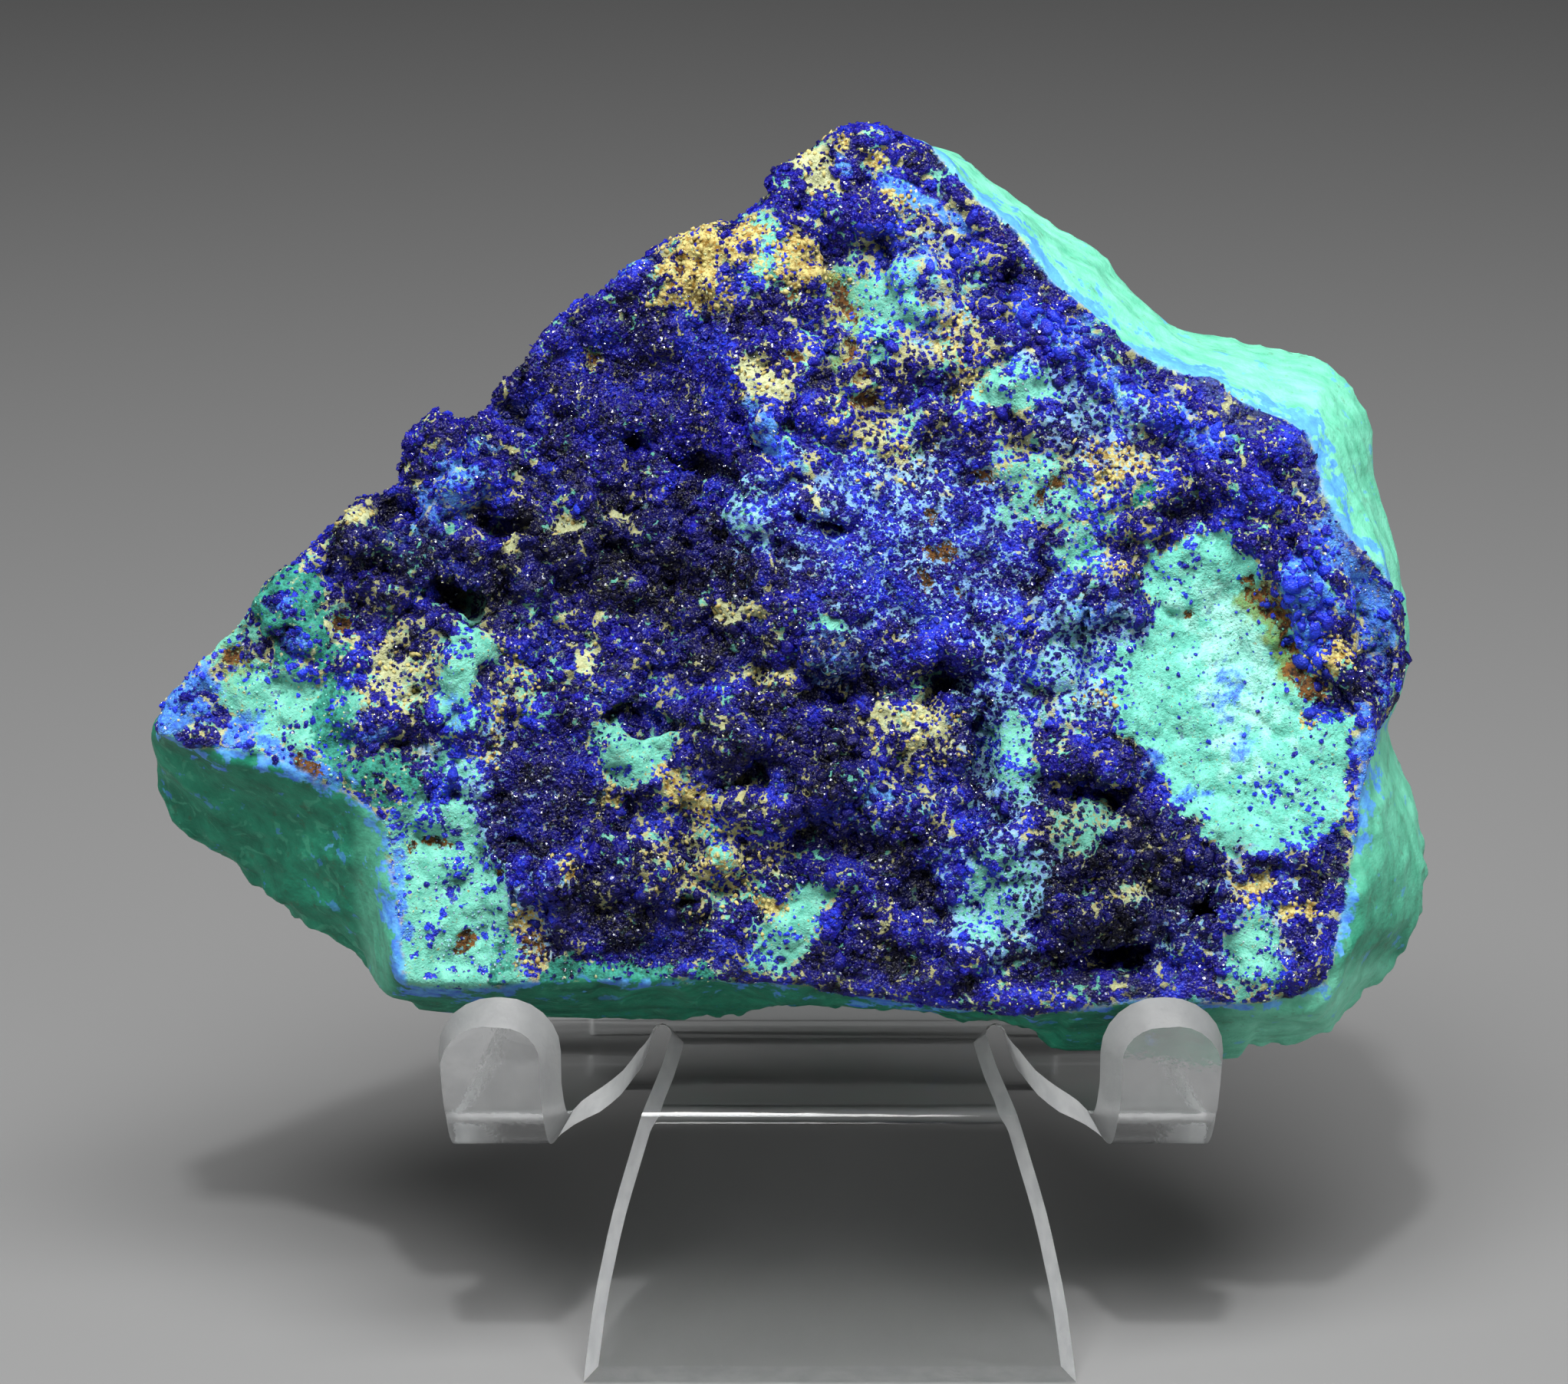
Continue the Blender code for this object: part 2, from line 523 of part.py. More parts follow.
def rounded(points, per_span=3):
    """Open line through the points, rounded between them."""
    line = [np.array(points[0])]
    padded = [points[0], *points, points[-1]]
    for before, start, end, after in zip(padded, padded[1:], padded[2:], padded[3:]):
        before, start, end, after = map(np.array, (before, start, end, after))
        for step in range(1, per_span + 1):
            t = step / per_span
            line.append(0.5 * (2 * start + (end - before) * t
                               + (2 * before - 5 * start + 4 * end - after) * t ** 2
                               + (3 * start - before - 3 * end + after) * t ** 3))
    return line


def arc(centre, radius, start_deg, end_deg, steps):
    turns = np.linspace(math.radians(start_deg), math.radians(end_deg), steps)
    return [np.array((centre[0] + radius * math.cos(a), centre[1] + radius * math.sin(a)))
            for a in turns]


def flat_half_outline(lip_end, apron_end, rear_end):
    """Right half of the flat sheet as (distance, x, draft), from the apron's end to the rear foot."""
    half = [(apron_end, APRON_EDGE[-1][1], APRON_DRAFT)]
    half += [(d, x, APRON_DRAFT) for d, x in reversed(rounded(APRON_EDGE, 2))]
    slit_middle = (APRON_EDGE[0][1] + ARM_INNER_EDGE[0][1]) / 2.0
    slit_half = (ARM_INNER_EDGE[0][1] - APRON_EDGE[0][1]) / 2.0
    end_arc = arc((APRON_EDGE[0][0], slit_middle), slit_half, -90.0, -270.0, 7)
    half += [(d, x, LEDGE_DRAFT) for d, x in end_arc[1:-1]]
    half += [(d, x, np.interp(d, LEDGE_TO_LIP, (LEDGE_DRAFT, LIP_DRAFT)))
             for d, x in rounded(ARM_INNER_EDGE, 2)]
    inner, outer = ARM_INNER_EDGE[-1][1], OUTER_EDGE[0][1]
    radius = LIP_CORNER_RADIUS
    half += [(d, x, LIP_DRAFT)
             for d, x in arc((lip_end - radius, inner + radius), radius, -90.0, 0.0, 7)]
    outer_corner = arc((lip_end - radius, outer - radius), radius, 0.0, 90.0, 7)
    easing = np.linspace(LIP_DRAFT, OUTER_DRAFT, len(outer_corner))
    half += [(d, x, draft) for (d, x), draft in zip(outer_corner, easing)]
    half += [(d, x, OUTER_DRAFT) for d, x in rounded(OUTER_EDGE, 2)]
    half += [(-BACKREST_LENGTH, BACKREST_TOP_HALF, OUTER_DRAFT),
             (-BACKREST_LENGTH - TOP_FOLD_LENGTH, BACKREST_TOP_HALF - TOP_FOLD_DRAW_IN,
              OUTER_DRAFT),
             (rear_end, REAR_FOOT_HALF, OUTER_DRAFT)]
    return half


def flat_sheet(outline):
    """Closed slab from the outline: full size above, drawn in by the draft below."""
    count = len(outline)
    spots = np.array([(x, d) for d, x, _ in outline])
    area = 0.5 * sum(spots[i - 1][0] * spots[i][1] - spots[i][0] * spots[i - 1][1]
                     for i in range(count))
    shape = bmesh.new()
    upper = [shape.verts.new((x, d, 0.0)) for x, d in spots]
    lower = []
    for i in range(count):
        along = spots[(i + 1) % count] - spots[i - 1]
        inward = np.array((-along[1], along[0])) * (1.0 if area > 0 else -1.0)
        inward /= np.linalg.norm(inward)
        x, d = spots[i] + inward * outline[i][2]
        lower.append(shape.verts.new((x, d, -SHEET_THICKNESS)))
    shape.faces.new(upper)
    shape.faces.new(lower)
    for i in range(count):
        shape.faces.new((upper[i], upper[(i + 1) % count], lower[(i + 1) % count], lower[i]))
    bmesh.ops.recalc_face_normals(shape, faces=shape.faces[:])
    return shape


def cut_across(shape, distance):
    everything = shape.verts[:] + shape.edges[:] + shape.faces[:]
    bmesh.ops.bisect_plane(shape, geom=everything, plane_co=(0.0, distance, 0.0),
                           plane_no=(0.0, 1.0, 0.0), dist=1e-5)


def trim_at_floor(shape):
    everything = shape.verts[:] + shape.edges[:] + shape.faces[:]
    cut = bmesh.ops.bisect_plane(shape, geom=everything, plane_co=(0.0, 0.0, 0.0),
                                 plane_no=(0.0, 0.0, -1.0), dist=1e-5, clear_outer=True)
    rims = [item for item in cut["geom_cut"] if isinstance(item, bmesh.types.BMEdge)]
    bmesh.ops.holes_fill(shape, edges=rims, sides=0)


def slit_x(distance):
    """Middle of the slit between the apron and an arm."""
    apron = np.interp(distance, *zip(*APRON_EDGE))
    arm = np.interp(distance, *zip(*ARM_INNER_EDGE))
    return (apron + arm) / 2.0


def make_stand(group, material):
    arm, apron, rear = arm_path(), apron_path(), rear_path()
    lip_end, apron_end, rear_end = arm.nodes[-1][0], apron.nodes[-1][0], -rear.nodes[-1][0]
    right = flat_half_outline(lip_end, apron_end, rear_end)
    left = [(d, -x, draft) for d, x, draft in reversed(right)]
    shape = flat_sheet(right + left)
    for distance in sorted({round(d, 4) for d in arm.breaks() + apron.breaks() + rear.breaks()}):
        cut_across(shape, distance)
    cut_across(shape, 0.0)
    for vertex in shape.verts:
        x, distance, depth = vertex.co
        if distance <= 0.0:
            path = rear
        else:
            path = arm if abs(x) > slit_x(distance) else apron
        y, z = path.place(distance, depth)
        vertex.co = (x, y, z + FLOOR_DROP)
    trim_at_floor(shape)
    bmesh.ops.triangulate(shape, faces=shape.faces[:], quad_method="BEAUTY", ngon_method="BEAUTY")
    bmesh.ops.recalc_face_normals(shape, faces=shape.faces[:])
    for vertex in shape.verts:
        vertex.co *= MM
    mesh = bpy.data.meshes.new("clear_stand")
    shape.to_mesh(mesh)
    shape.free()
    return add_object("clear_stand", mesh, group, material)


def stand_on_origin(pieces):
    """Move the pieces so that the middle of their box's base is the origin."""
    corners = np.array([vertex.co[:] for piece in pieces for vertex in piece.data.vertices])
    low, high = corners.min(axis=0), corners.max(axis=0)
    offset = Vector(((low[0] + high[0]) / 2.0, (low[1] + high[1]) / 2.0, low[2]))
    for piece in pieces:
        piece.data.transform(Matrix.Translation(-offset))
        piece.data.update()


def main():
    clear_scene()
    specimen = new_collection("azurite_specimen")
    crust = principled("azurite_and_malachite", (0.03, 0.06, 0.45), 0.6)
    clear = principled("clear_sheet", (0.95, 0.97, 0.97), 0.08, transmission=1.0, ior=1.49)
    stand_on_origin([make_stone(specimen, crust), make_stand(specimen, clear)])


main()
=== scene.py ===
# %% [markdown]
# # Azurite on malachite, on a clear sheet stand
#
# The specimen is one broken slab. Its front is a crust of deep blue azurite grains with pale
# malachite, ochre and rusty spots showing between them. Its sides are smooth green malachite.
# The cells below dress the plain solids: first the stone's surface and its colours, then the
# thousands of little grains that grow on it, then the clear stand, the lights and the camera.

import math

import bmesh
import bpy
import numpy as np
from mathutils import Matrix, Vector


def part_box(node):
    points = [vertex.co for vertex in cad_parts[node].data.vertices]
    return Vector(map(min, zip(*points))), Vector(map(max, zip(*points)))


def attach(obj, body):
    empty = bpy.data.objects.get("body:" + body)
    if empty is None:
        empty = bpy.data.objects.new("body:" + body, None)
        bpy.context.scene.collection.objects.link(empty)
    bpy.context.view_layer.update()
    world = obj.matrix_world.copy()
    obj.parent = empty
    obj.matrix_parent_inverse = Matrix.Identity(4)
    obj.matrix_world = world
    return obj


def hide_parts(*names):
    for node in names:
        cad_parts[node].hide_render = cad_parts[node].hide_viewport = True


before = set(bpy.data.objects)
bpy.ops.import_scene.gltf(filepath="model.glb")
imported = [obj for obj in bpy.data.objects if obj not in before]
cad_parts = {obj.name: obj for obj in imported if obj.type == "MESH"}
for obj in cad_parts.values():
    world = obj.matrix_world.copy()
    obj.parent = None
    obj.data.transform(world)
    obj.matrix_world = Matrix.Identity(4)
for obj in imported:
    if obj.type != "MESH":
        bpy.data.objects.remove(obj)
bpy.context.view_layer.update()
print("solids:", sorted(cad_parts))


def in_scene(name, data):
    """A new object in the scene that carries a mesh, a lamp or a camera."""
    made = bpy.data.objects.new(name, data)
    bpy.context.scene.collection.objects.link(made)
    return made


# %% [markdown]
# ## The stone's own directions
# The stone leans back, so its features are easier to place on its face than in the room.
# Each point gets u to the right, v up the face and a depth into the stone, all in millimetres.

# %% Face directions
MM = 0.001
LEAN = math.radians(20.0)
FRONT_FOOT_TO_LIP = 0.95       # the lips' front is this far behind the stand's foremost edge
FACE_TO_LIP = 7.5              # the face plane's depth, from the lips' front
FLOOR_DROP = 1.3

stand_low, stand_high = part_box("clear_stand")
middle_x = (stand_low.x + stand_high.x) / 2 / MM
lip_y = stand_low.y / MM + FRONT_FOOT_TO_LIP


def on_the_face(points):
    """u, v and depth in millimetres for points in metres."""
    x = points[:, 0] / MM - middle_x
    y = points[:, 1] / MM - lip_y
    z = points[:, 2] / MM - FLOOR_DROP
    up = y * math.sin(LEAN) + z * math.cos(LEAN)
    depth = y * math.cos(LEAN) - z * math.sin(LEAN) + FACE_TO_LIP
    return x, up, depth


print(f"stand's middle is at x = {middle_x:.2f} mm, its lips' front at y = {lip_y:.2f} mm")

# %% [markdown]
# ## Repeatable chance
# A natural surface needs randomness that is the same on each run. `lattice` turns a whole-number
# cell into a fixed random number. `clouds` blends such numbers into soft hills, and `knobs` puts
# one rounded knob in each cell, which is how grape-like malachite and azurite balls are packed.

# %% Noise helpers
def lattice(cells, seed):
    """A fixed random number from 0 to 1 for each whole-number cell."""
    cells = cells.astype(np.int64)
    mixed = cells[..., 0] * 73856093 ^ cells[..., 1] * 19349663 ^ cells[..., 2] * 83492791
    mixed = (mixed ^ np.int64(seed * 40503 + 977)) * np.int64(1274126177)
    mixed = (mixed ^ (mixed >> 15)) * np.int64(668265263)
    mixed = mixed ^ (mixed >> 13)
    return (mixed & 0xFFFFFF) / float(0xFFFFFF)


def clouds(points, size, seed):
    """Soft hills from -1 to 1, about one for each size in millimetres."""
    spot = points / size
    base = np.floor(spot)
    t = spot - base
    t = t * t * (3 - 2 * t)
    total = np.zeros(len(points))
    for corner in range(8):
        step = np.array([corner & 1, corner >> 1 & 1, corner >> 2 & 1])
        weight = np.prod(np.where(step, t, 1 - t), axis=1)
        total += weight * lattice(base + step, seed)
    return total * 2 - 1


def knobs(points, size, seed):
    """Distance in cells to the nearest knob's middle, and how much nearer it is than the next."""
    spot = points / size
    base = np.floor(spot)
    nearest = np.full(len(points), 9.0)
    second = np.full(len(points), 9.0)
    for k in range(27):
        cell = base + np.array([k % 3 - 1, k // 3 % 3 - 1, k // 9 - 1])
        middle = np.stack([lattice(cell, seed + axis) for axis in (1, 2, 3)], axis=1) + cell
        gap = np.linalg.norm(spot - middle, axis=1)
        second = np.where(gap < nearest, nearest, np.minimum(second, gap))
        nearest = np.minimum(nearest, gap)
    return nearest, second - nearest


def ease(value, start, end):
    """0 before the start, 1 after the end, smooth between."""
    share = np.clip((value - start) / (end - start), 0, 1)
    return share * share * (3 - 2 * share)


trial = np.random.default_rng(1).random((400, 3)) * 30
hills = clouds(trial, 2.0, 1)
print(f"clouds go from {hills.min():.2f} to {hills.max():.2f}, farthest from a knob's middle: "
      f"{knobs(trial, 2.0, 1)[0].max():.2f} of a cell")

# %% [markdown]
# ## Where each mineral shows
# The colours of the crust are not even. Each patch below is a named ellipse on the face:
# middle u, v, half-widths, turn in degrees and how fully the mineral covers it. Large shapes
# with a real outline, such as the blue face itself and the pale bare patch, are outlines.

# %% The blue face and the bare pale patch
BLUE_FACE = [
    (2.5, 91.5), (6.5, 90.0), (8.7, 87.2), (11.2, 84.7), (13.5, 82.6), (16.1, 79.3), (19.1, 77.0),
    (21.4, 74.6), (24.5, 72.8), (27.5, 72.3), (29.9, 70.4), (32.9, 69.5), (34.5, 68.5),
    (35.2, 66.0), (35.7, 63.4), (37.6, 60.8), (40.2, 58.2), (42.5, 55.0), (42.5, 50.5),
    (41.0, 47.9), (39.4, 46.4), (37.9, 38.5), (36.9, 33.0), (35.7, 28.2), (33.4, 27.1),
    (28.7, 27.0), (22.6, 27.4), (19.6, 26.6), (12.9, 26.1), (7.6, 26.1), (2.2, 27.1),
    (-2.4, 28.1), (-8.2, 28.4), (-14.6, 28.9), (-22.5, 28.4), (-30.4, 27.5), (-31.0, 31.0),
    (-31.9, 36.4), (-32.2, 39.6), (-33.3, 41.3), (-35.7, 42.5), (-38.9, 44.3), (-41.5, 45.0),
    (-43.7, 45.2), (-46.4, 45.4), (-49.0, 46.6), (-50.0, 48.8), (-48.0, 51.0), (-44.0, 55.5),
    (-42.0, 58.5), (-38.0, 61.0), (-36.0, 64.0), (-32.0, 66.0), (-31.8, 69.0), (-28.5, 71.0),
    (-26.0, 71.0), (-24.5, 73.0), (-21.0, 77.2), (-17.5, 79.8), (-12.4, 83.0), (-5.4, 86.5),
    (-4.4, 88.3), (-0.5, 91.0),
]
PALE_PATCH = [
    (22.4, 59.0), (28.4, 61.8), (30.6, 58.4), (32.3, 55.7), (33.5, 53.3), (35.2, 51.6),
    (36.0, 49.0), (37.4, 47.5), (37.6, 44.8), (38.4, 41.3), (36.9, 40.0), (33.7, 38.0),
    (28.7, 37.4), (25.4, 40.7), (24.5, 42.6), (22.1, 45.5), (19.9, 47.2), (20.4, 48.5),
    (19.2, 50.7), (20.8, 52.9), (22.3, 54.1), (23.3, 55.7), (22.8, 58.7),
]
LOWER_LEFT_PATCH = [
    (-32.4, 41.4), (-29.0, 42.6), (-26.8, 42.4), (-24.6, 39.1), (-23.2, 34.6), (-22.1, 28.0),
    (-30.8, 27.0), (-31.6, 33.0),
]
print("corners:", [len(outline) for outline in (BLUE_FACE, PALE_PATCH, LOWER_LEFT_PATCH)])

# %% Patches of each mineral
TURQUOISE = {
    "wing": (-39.2, 48.2, 6.2, 3.3, -20, 0.95),
    "wing's top edge": (-44.0, 53.4, 3.0, 2.2, 45, 0.85),
    "raised nub": (-26.6, 50.7, 2.3, 4.8, -6, 0.98),
    "below the nub": (-26.2, 43.5, 2.4, 3.0, 0, 0.6),
    "under the peak": (3.2, 77.2, 3.6, 3.9, 0, 0.8),
    "between the ochres": (-5.0, 80.9, 1.1, 3.0, -8, 0.9),
    "round lump": (13.2, 71.5, 2.6, 1.9, 10, 0.97),
    "upper right": (15.5, 64.2, 4.3, 2.8, -25, 0.72),
    "right of the field": (17.8, 59.3, 2.0, 1.5, 0, 0.8),
    "left of the field": (-5.6, 62.2, 2.6, 2.2, -40, 0.5),
    "spot on the lobe": (-0.3, 54.8, 1.2, 1.1, 0, 0.9),
    "beside the valley": (13.2, 45.0, 1.8, 2.6, 0, 0.8),
    "left nub": (-14.5, 45.1, 2.6, 2.0, 0, 0.97),
    "bead": (-8.3, 37.6, 1.1, 1.2, 0, 1.0),
    "wedge": (-2.6, 32.6, 1.7, 4.4, -25, 0.97),
    "right of the bottom": (11.6, 34.7, 3.0, 4.2, 0, 0.68),
    "above the shelf": (18.4, 39.4, 2.6, 1.4, 20, 0.62),
    "column": (30.5, 31.1, 1.9, 4.0, 4, 0.95),
    "knobs under the peak": (6.5, 78.6, 3.2, 4.6, 15, 0.2),
    "speckled field": (5.9, 59.3, 9.5, 6.6, -12, 0.2),
    "speckled strip": (11.6, 47.6, 2.6, 6.4, 0, 0.4),
    "speckled right": (17.6, 51.6, 3.6, 5.2, 0, 0.5),
    "right of the round lump": (20.5, 70.0, 4.5, 2.2, -30, 0.4),
}
CREAM = {
    "peak": (-1.3, 87.3, 1.5, 1.8, 0, 0.85),
    "left of the flake": (-4.8, 71.6, 2.0, 1.4, -15, 0.85),
    "beside the wing": (-31.4, 51.5, 2.6, 2.8, 0, 0.62),
    "belly": (6.7, 46.8, 3.2, 2.3, -10, 0.72),
    "over the shelf": (21.2, 35.2, 2.4, 1.3, 10, 0.6),
    "dark slope, one": (-19.6, 61.8, 1.3, 0.6, 10, 0.8),
    "dark slope, two": (-15.9, 62.0, 0.9, 0.6, 0, 0.8),
    "dark slope, three": (-7.0, 55.7, 2.1, 0.9, 10, 0.75),
    "dark slope, four": (-22.9, 60.2, 0.7, 0.8, 0, 0.8),
    "middle left": (-17.5, 51.5, 1.1, 1.4, 20, 0.7),
    "above the cavity": (-4.9, 50.6, 2.0, 0.6, 0, 0.7),
    "hooked lump": (-34.5, 62.4, 1.2, 0.6, 10, 0.9),
    "left of the speckles": (4.0, 67.6, 4.5, 2.6, -20, 0.36),
}
OCHRE = {
    "first mound": (-8.8, 80.4, 3.6, 3.3, 0, 0.84),
    "second mound": (-2.1, 80.2, 2.5, 2.4, 0, 0.84),
    "beside the peak": (3.5, 88.4, 1.1, 0.9, 0, 0.7),
    "on the peak": (0.5, 89.1, 0.8, 0.7, 0, 0.7),
    "below the peak": (5.8, 84.7, 2.1, 1.2, -25, 0.62),
    "right crest": (21.0, 66.4, 3.0, 1.7, -10, 0.66),
    "left of the round lump": (9.4, 74.4, 1.8, 3.4, 10, 0.5),
    "by the twisted lumps": (36.6, 52.5, 1.5, 1.8, -30, 0.8),
    "knob at the rim": (35.7, 47.1, 1.5, 1.1, 0, 0.5),
    "streak in the belly": (-10.2, 42.0, 2.8, 1.7, -45, 0.7),
    "under the left nub": (-15.7, 41.8, 1.0, 0.9, 0, 0.85),
    "beside the wedge": (-4.6, 33.8, 1.7, 0.9, 0, 0.85),
    "left knob": (-19.3, 37.2, 0.9, 0.9, 0, 0.8),
    "left edge, upper": (-21.9, 32.8, 1.2, 1.5, 0, 0.7),
    "left edge, lower": (-21.6, 30.2, 0.9, 1.8, 0, 0.55),
    "right of the nub": (-24.4, 46.6, 0.9, 2.8, 0, 0.55),
    "left of the dark slope": (-21.8, 49.8, 1.5, 2.8, 20, 0.5),
    "below the belly": (-8.4, 36.5, 4.4, 3.2, -30, 0.44),
    "under the ledge": (30.8, 35.2, 2.2, 0.8, 12, 0.7),
    "right of the column": (34.5, 33.2, 1.3, 0.8, 0, 0.85),
    "over the pierced lump": (21.5, 58.6, 1.4, 0.7, -40, 0.5),
    "below the pierced lump": (19.0, 49.4, 2.2, 1.1, -20, 0.4),
}
RUST = {
    "largest": (0.8, 77.2, 1.2, 1.2, 0, 0.95),
    "second": (1.1, 74.1, 1.0, 0.9, 0, 0.95),
    "third": (-3.4, 73.4, 0.6, 0.5, 0, 0.9),
    "fourth": (2.7, 70.4, 0.8, 0.6, 0, 0.9),
    "fifth": (2.3, 72.0, 0.6, 0.5, 0, 0.8),
    "by the second mound": (-2.4, 78.1, 0.5, 0.5, 0, 0.9),
    "far left slope": (-17.4, 74.0, 0.5, 0.5, 0, 0.9),
    "on the first mound": (-11.0, 80.5, 0.5, 0.5, 0, 0.9),
    "field, one": (10.8, 64.7, 1.0, 0.8, 0, 0.9),
    "field, two": (16.6, 64.8, 0.7, 0.6, 0, 0.9),
    "field, three": (15.2, 63.8, 0.5, 0.5, 0, 0.9),
    "field, four": (7.4, 62.3, 0.5, 0.5, 0, 0.9),
    "field, five": (8.2, 59.4, 0.9, 0.6, 0, 0.9),
    "field, six": (6.8, 57.0, 0.6, 0.8, 0, 0.9),
    "field, seven": (9.6, 57.2, 0.5, 0.4, 0, 0.8),
    "field, eight": (12.4, 53.0, 0.6, 0.4, 0, 0.8),
    "wing": (-43.5, 51.3, 1.4, 1.1, 30, 0.95),
    "beside the grapes": (-34.9, 54.6, 0.8, 0.7, 0, 0.95),
    "wing's lower edge": (-37.9, 44.4, 0.7, 1.1, 20, 0.95),
    "pale corner, one": (-28.3, 38.3, 1.1, 0.6, 0, 0.95),
    "pale corner, two": (-30.4, 38.1, 0.5, 0.5, 0, 0.9),
    "pale corner, three": (-24.3, 36.7, 0.6, 0.5, 0, 0.8),
    "pale corner, four": (-26.4, 31.0, 0.9, 0.7, 0, 0.9),
    "pale patch, one": (30.0, 57.8, 0.6, 0.5, 0, 0.95),
    "pale patch, two": (25.9, 55.7, 0.3, 0.3, 0, 0.8),
    "pale patch, three": (31.7, 48.8, 0.3, 0.3, 0, 0.8),
    "streak, upper": (32.1, 54.4, 3.4, 0.9, -60, 0.85),
    "streak, lower": (34.4, 50.4, 2.3, 0.9, -55, 0.95),
    "left edge": (-21.6, 31.4, 0.6, 1.0, 0, 0.7),
}
STAINED = {
    "streak": (32.1, 53.6, 4.8, 1.35, -60, 0.9),
    "round the largest": (1.0, 77.4, 2.2, 2.0, 0, 0.5),
    "round the second": (1.1, 74.1, 1.6, 1.5, 0, 0.45),
    "wing": (-43.5, 51.2, 2.0, 1.6, 30, 0.5),
}
GREEN = {
    "grapes": (-39.3, 55.0, 3.4, 4.2, 25, 0.9),
    "below the grapes": (-36.2, 47.0, 1.6, 2.8, 10, 0.85),
    "corner ledge": (-32.5, 43.6, 4.8, 1.9, -15, 0.9),
    "bottom lens": (-15.2, 28.6, 7.2, 1.0, 0, 0.95),
    "edge of the pale corner": (-23.0, 31.2, 0.9, 3.4, 0, 0.5),
    "in the crest": (22.6, 63.4, 1.1, 0.9, 0, 0.7),
    "above the pale patch": (18.2, 60.0, 1.6, 0.8, 20, 0.5),
}
AZURE = {
    "wing's tip": (-46.6, 49.4, 1.9, 2.2, 0, 0.85),
    "smears on the pale patch, one": (28.9, 49.6, 1.3, 1.6, 20, 0.5),
    "smears on the pale patch, two": (30.4, 45.8, 0.6, 1.3, 10, 0.6),
    "smears on the pale patch, three": (25.9, 42.3, 2.0, 0.6, 12, 0.8),
    "smears on the pale patch, four": (23.8, 44.6, 0.8, 0.8, 0, 0.7),
    "grapes, one": (-39.7, 55.9, 0.9, 0.8, 0, 0.7),
    "grapes, two": (-39.1, 53.3, 1.2, 0.8, 0, 0.7),
    "left of the corner ledge": (-33.4, 46.6, 1.2, 1.0, 0, 0.5),
    "edge of the pale corner": (-31.6, 34.5, 0.6, 5.0, 0, 0.7),
    "wing": (-42.9, 46.6, 1.4, 1.3, 0, 0.8),
    "wing's edge": (-38.6, 44.6, 3.6, 0.7, -22, 0.8),
    "stripe below the peak": (6.8, 85.0, 3.8, 0.7, -35, 0.9),
    "teal ridge": (-28.0, 63.6, 1.6, 4.6, -38, 0.5),
    "flake": (-4.3, 68.0, 0.7, 2.1, 25, 0.75),
    "smear on the pale patch": (28.4, 48.4, 1.5, 2.0, 10, 0.4),
    "twisted lumps": (34.0, 55.7, 2.2, 3.4, 20, 0.75),
    "smooth spot": (25.7, 68.3, 2.4, 1.4, -10, 0.5),
    "right strip": (38.7, 43.0, 0.8, 4.6, 0, 0.7),
    # painted highlight: a light azure line where the crest's edge catches the light
    "painted highlight on the left crest's rim": (-16.3, 79.8, 5.5, 0.6, 34, 0.6),
    "rim": (36.6, 59.5, 1.4, 4.0, 20, 0.55),
    "outer rim": (39.3, 54.6, 1.5, 5.0, 12, 0.55),
    "pierced lump": (18.9, 55.7, 1.5, 1.1, 0, 0.5),
    "lobe": (0.4, 51.8, 2.4, 1.7, -15, 0.4),
    "knobs, one": (0.9, 87.5, 0.8, 0.8, 0, 0.7),
    "knobs, two": (6.0, 81.0, 2.2, 3.0, 0, 0.35),
    "upper crest": (17.5, 74.6, 5.0, 1.6, -38, 0.45),
    "nub": (-27.4, 48.6, 0.9, 1.3, 0, 0.5),
    "middle of the belly": (3.6, 42.0, 3.0, 2.2, 0, 0.3),
}
DENSE = {
    "dark slope": (-13.4, 71.0, 8.8, 7.2, 25, 1.0),
    "left hollow": (-20.0, 43.4, 4.2, 4.8, 0, 1.0),
    "bottom band": (-13.6, 30.7, 5.8, 1.9, 0, 1.0),
    "valley": (9.6, 46.0, 1.9, 5.6, 4, 0.9),
    "below the flake": (-10.0, 63.0, 6.0, 5.0, -20, 0.6),
}
COOL = {
    "speckled field": (5.9, 59.3, 11.0, 8.0, -12, 1.0),
    "speckled strip": (11.6, 47.6, 3.4, 7.4, 0, 1.0),
    "knobs under the peak": (6.0, 78.6, 4.5, 5.5, 15, 0.4),
    "upper right": (18.0, 70.0, 7.0, 4.0, -35, 0.7),
    "right of the bottom": (11.6, 35.0, 4.2, 5.2, 0, 0.9),
    "left of the field": (-5.6, 62.2, 4.0, 4.0, -40, 0.9),
    "speckled right": (18.0, 52.5, 4.5, 5.5, 0, 0.9),
    "pale corner": (-25.0, 38.0, 6.0, 9.0, 0, 0.8),
    "lower right": (29.0, 33.0, 8.0, 5.0, 0, 0.5),
}
FINE = {
    "speckled field": (5.9, 59.6, 9.5, 6.4, -12, 1.0),
    "speckled strip": (11.6, 47.6, 2.0, 6.0, 0, 0.9),
    "dark slope": (-13.4, 71.5, 8.0, 6.4, 25, 0.85),
    "left hollow": (-20.0, 43.4, 3.8, 4.2, 0, 0.9),
    "bottom band": (-13.6, 30.7, 5.8, 1.9, 0, 0.9),
}
KINDS = (TURQUOISE, CREAM, OCHRE, RUST, STAINED, GREEN, AZURE, DENSE, COOL, FINE)
print("patches:", sum(map(len, KINDS)))
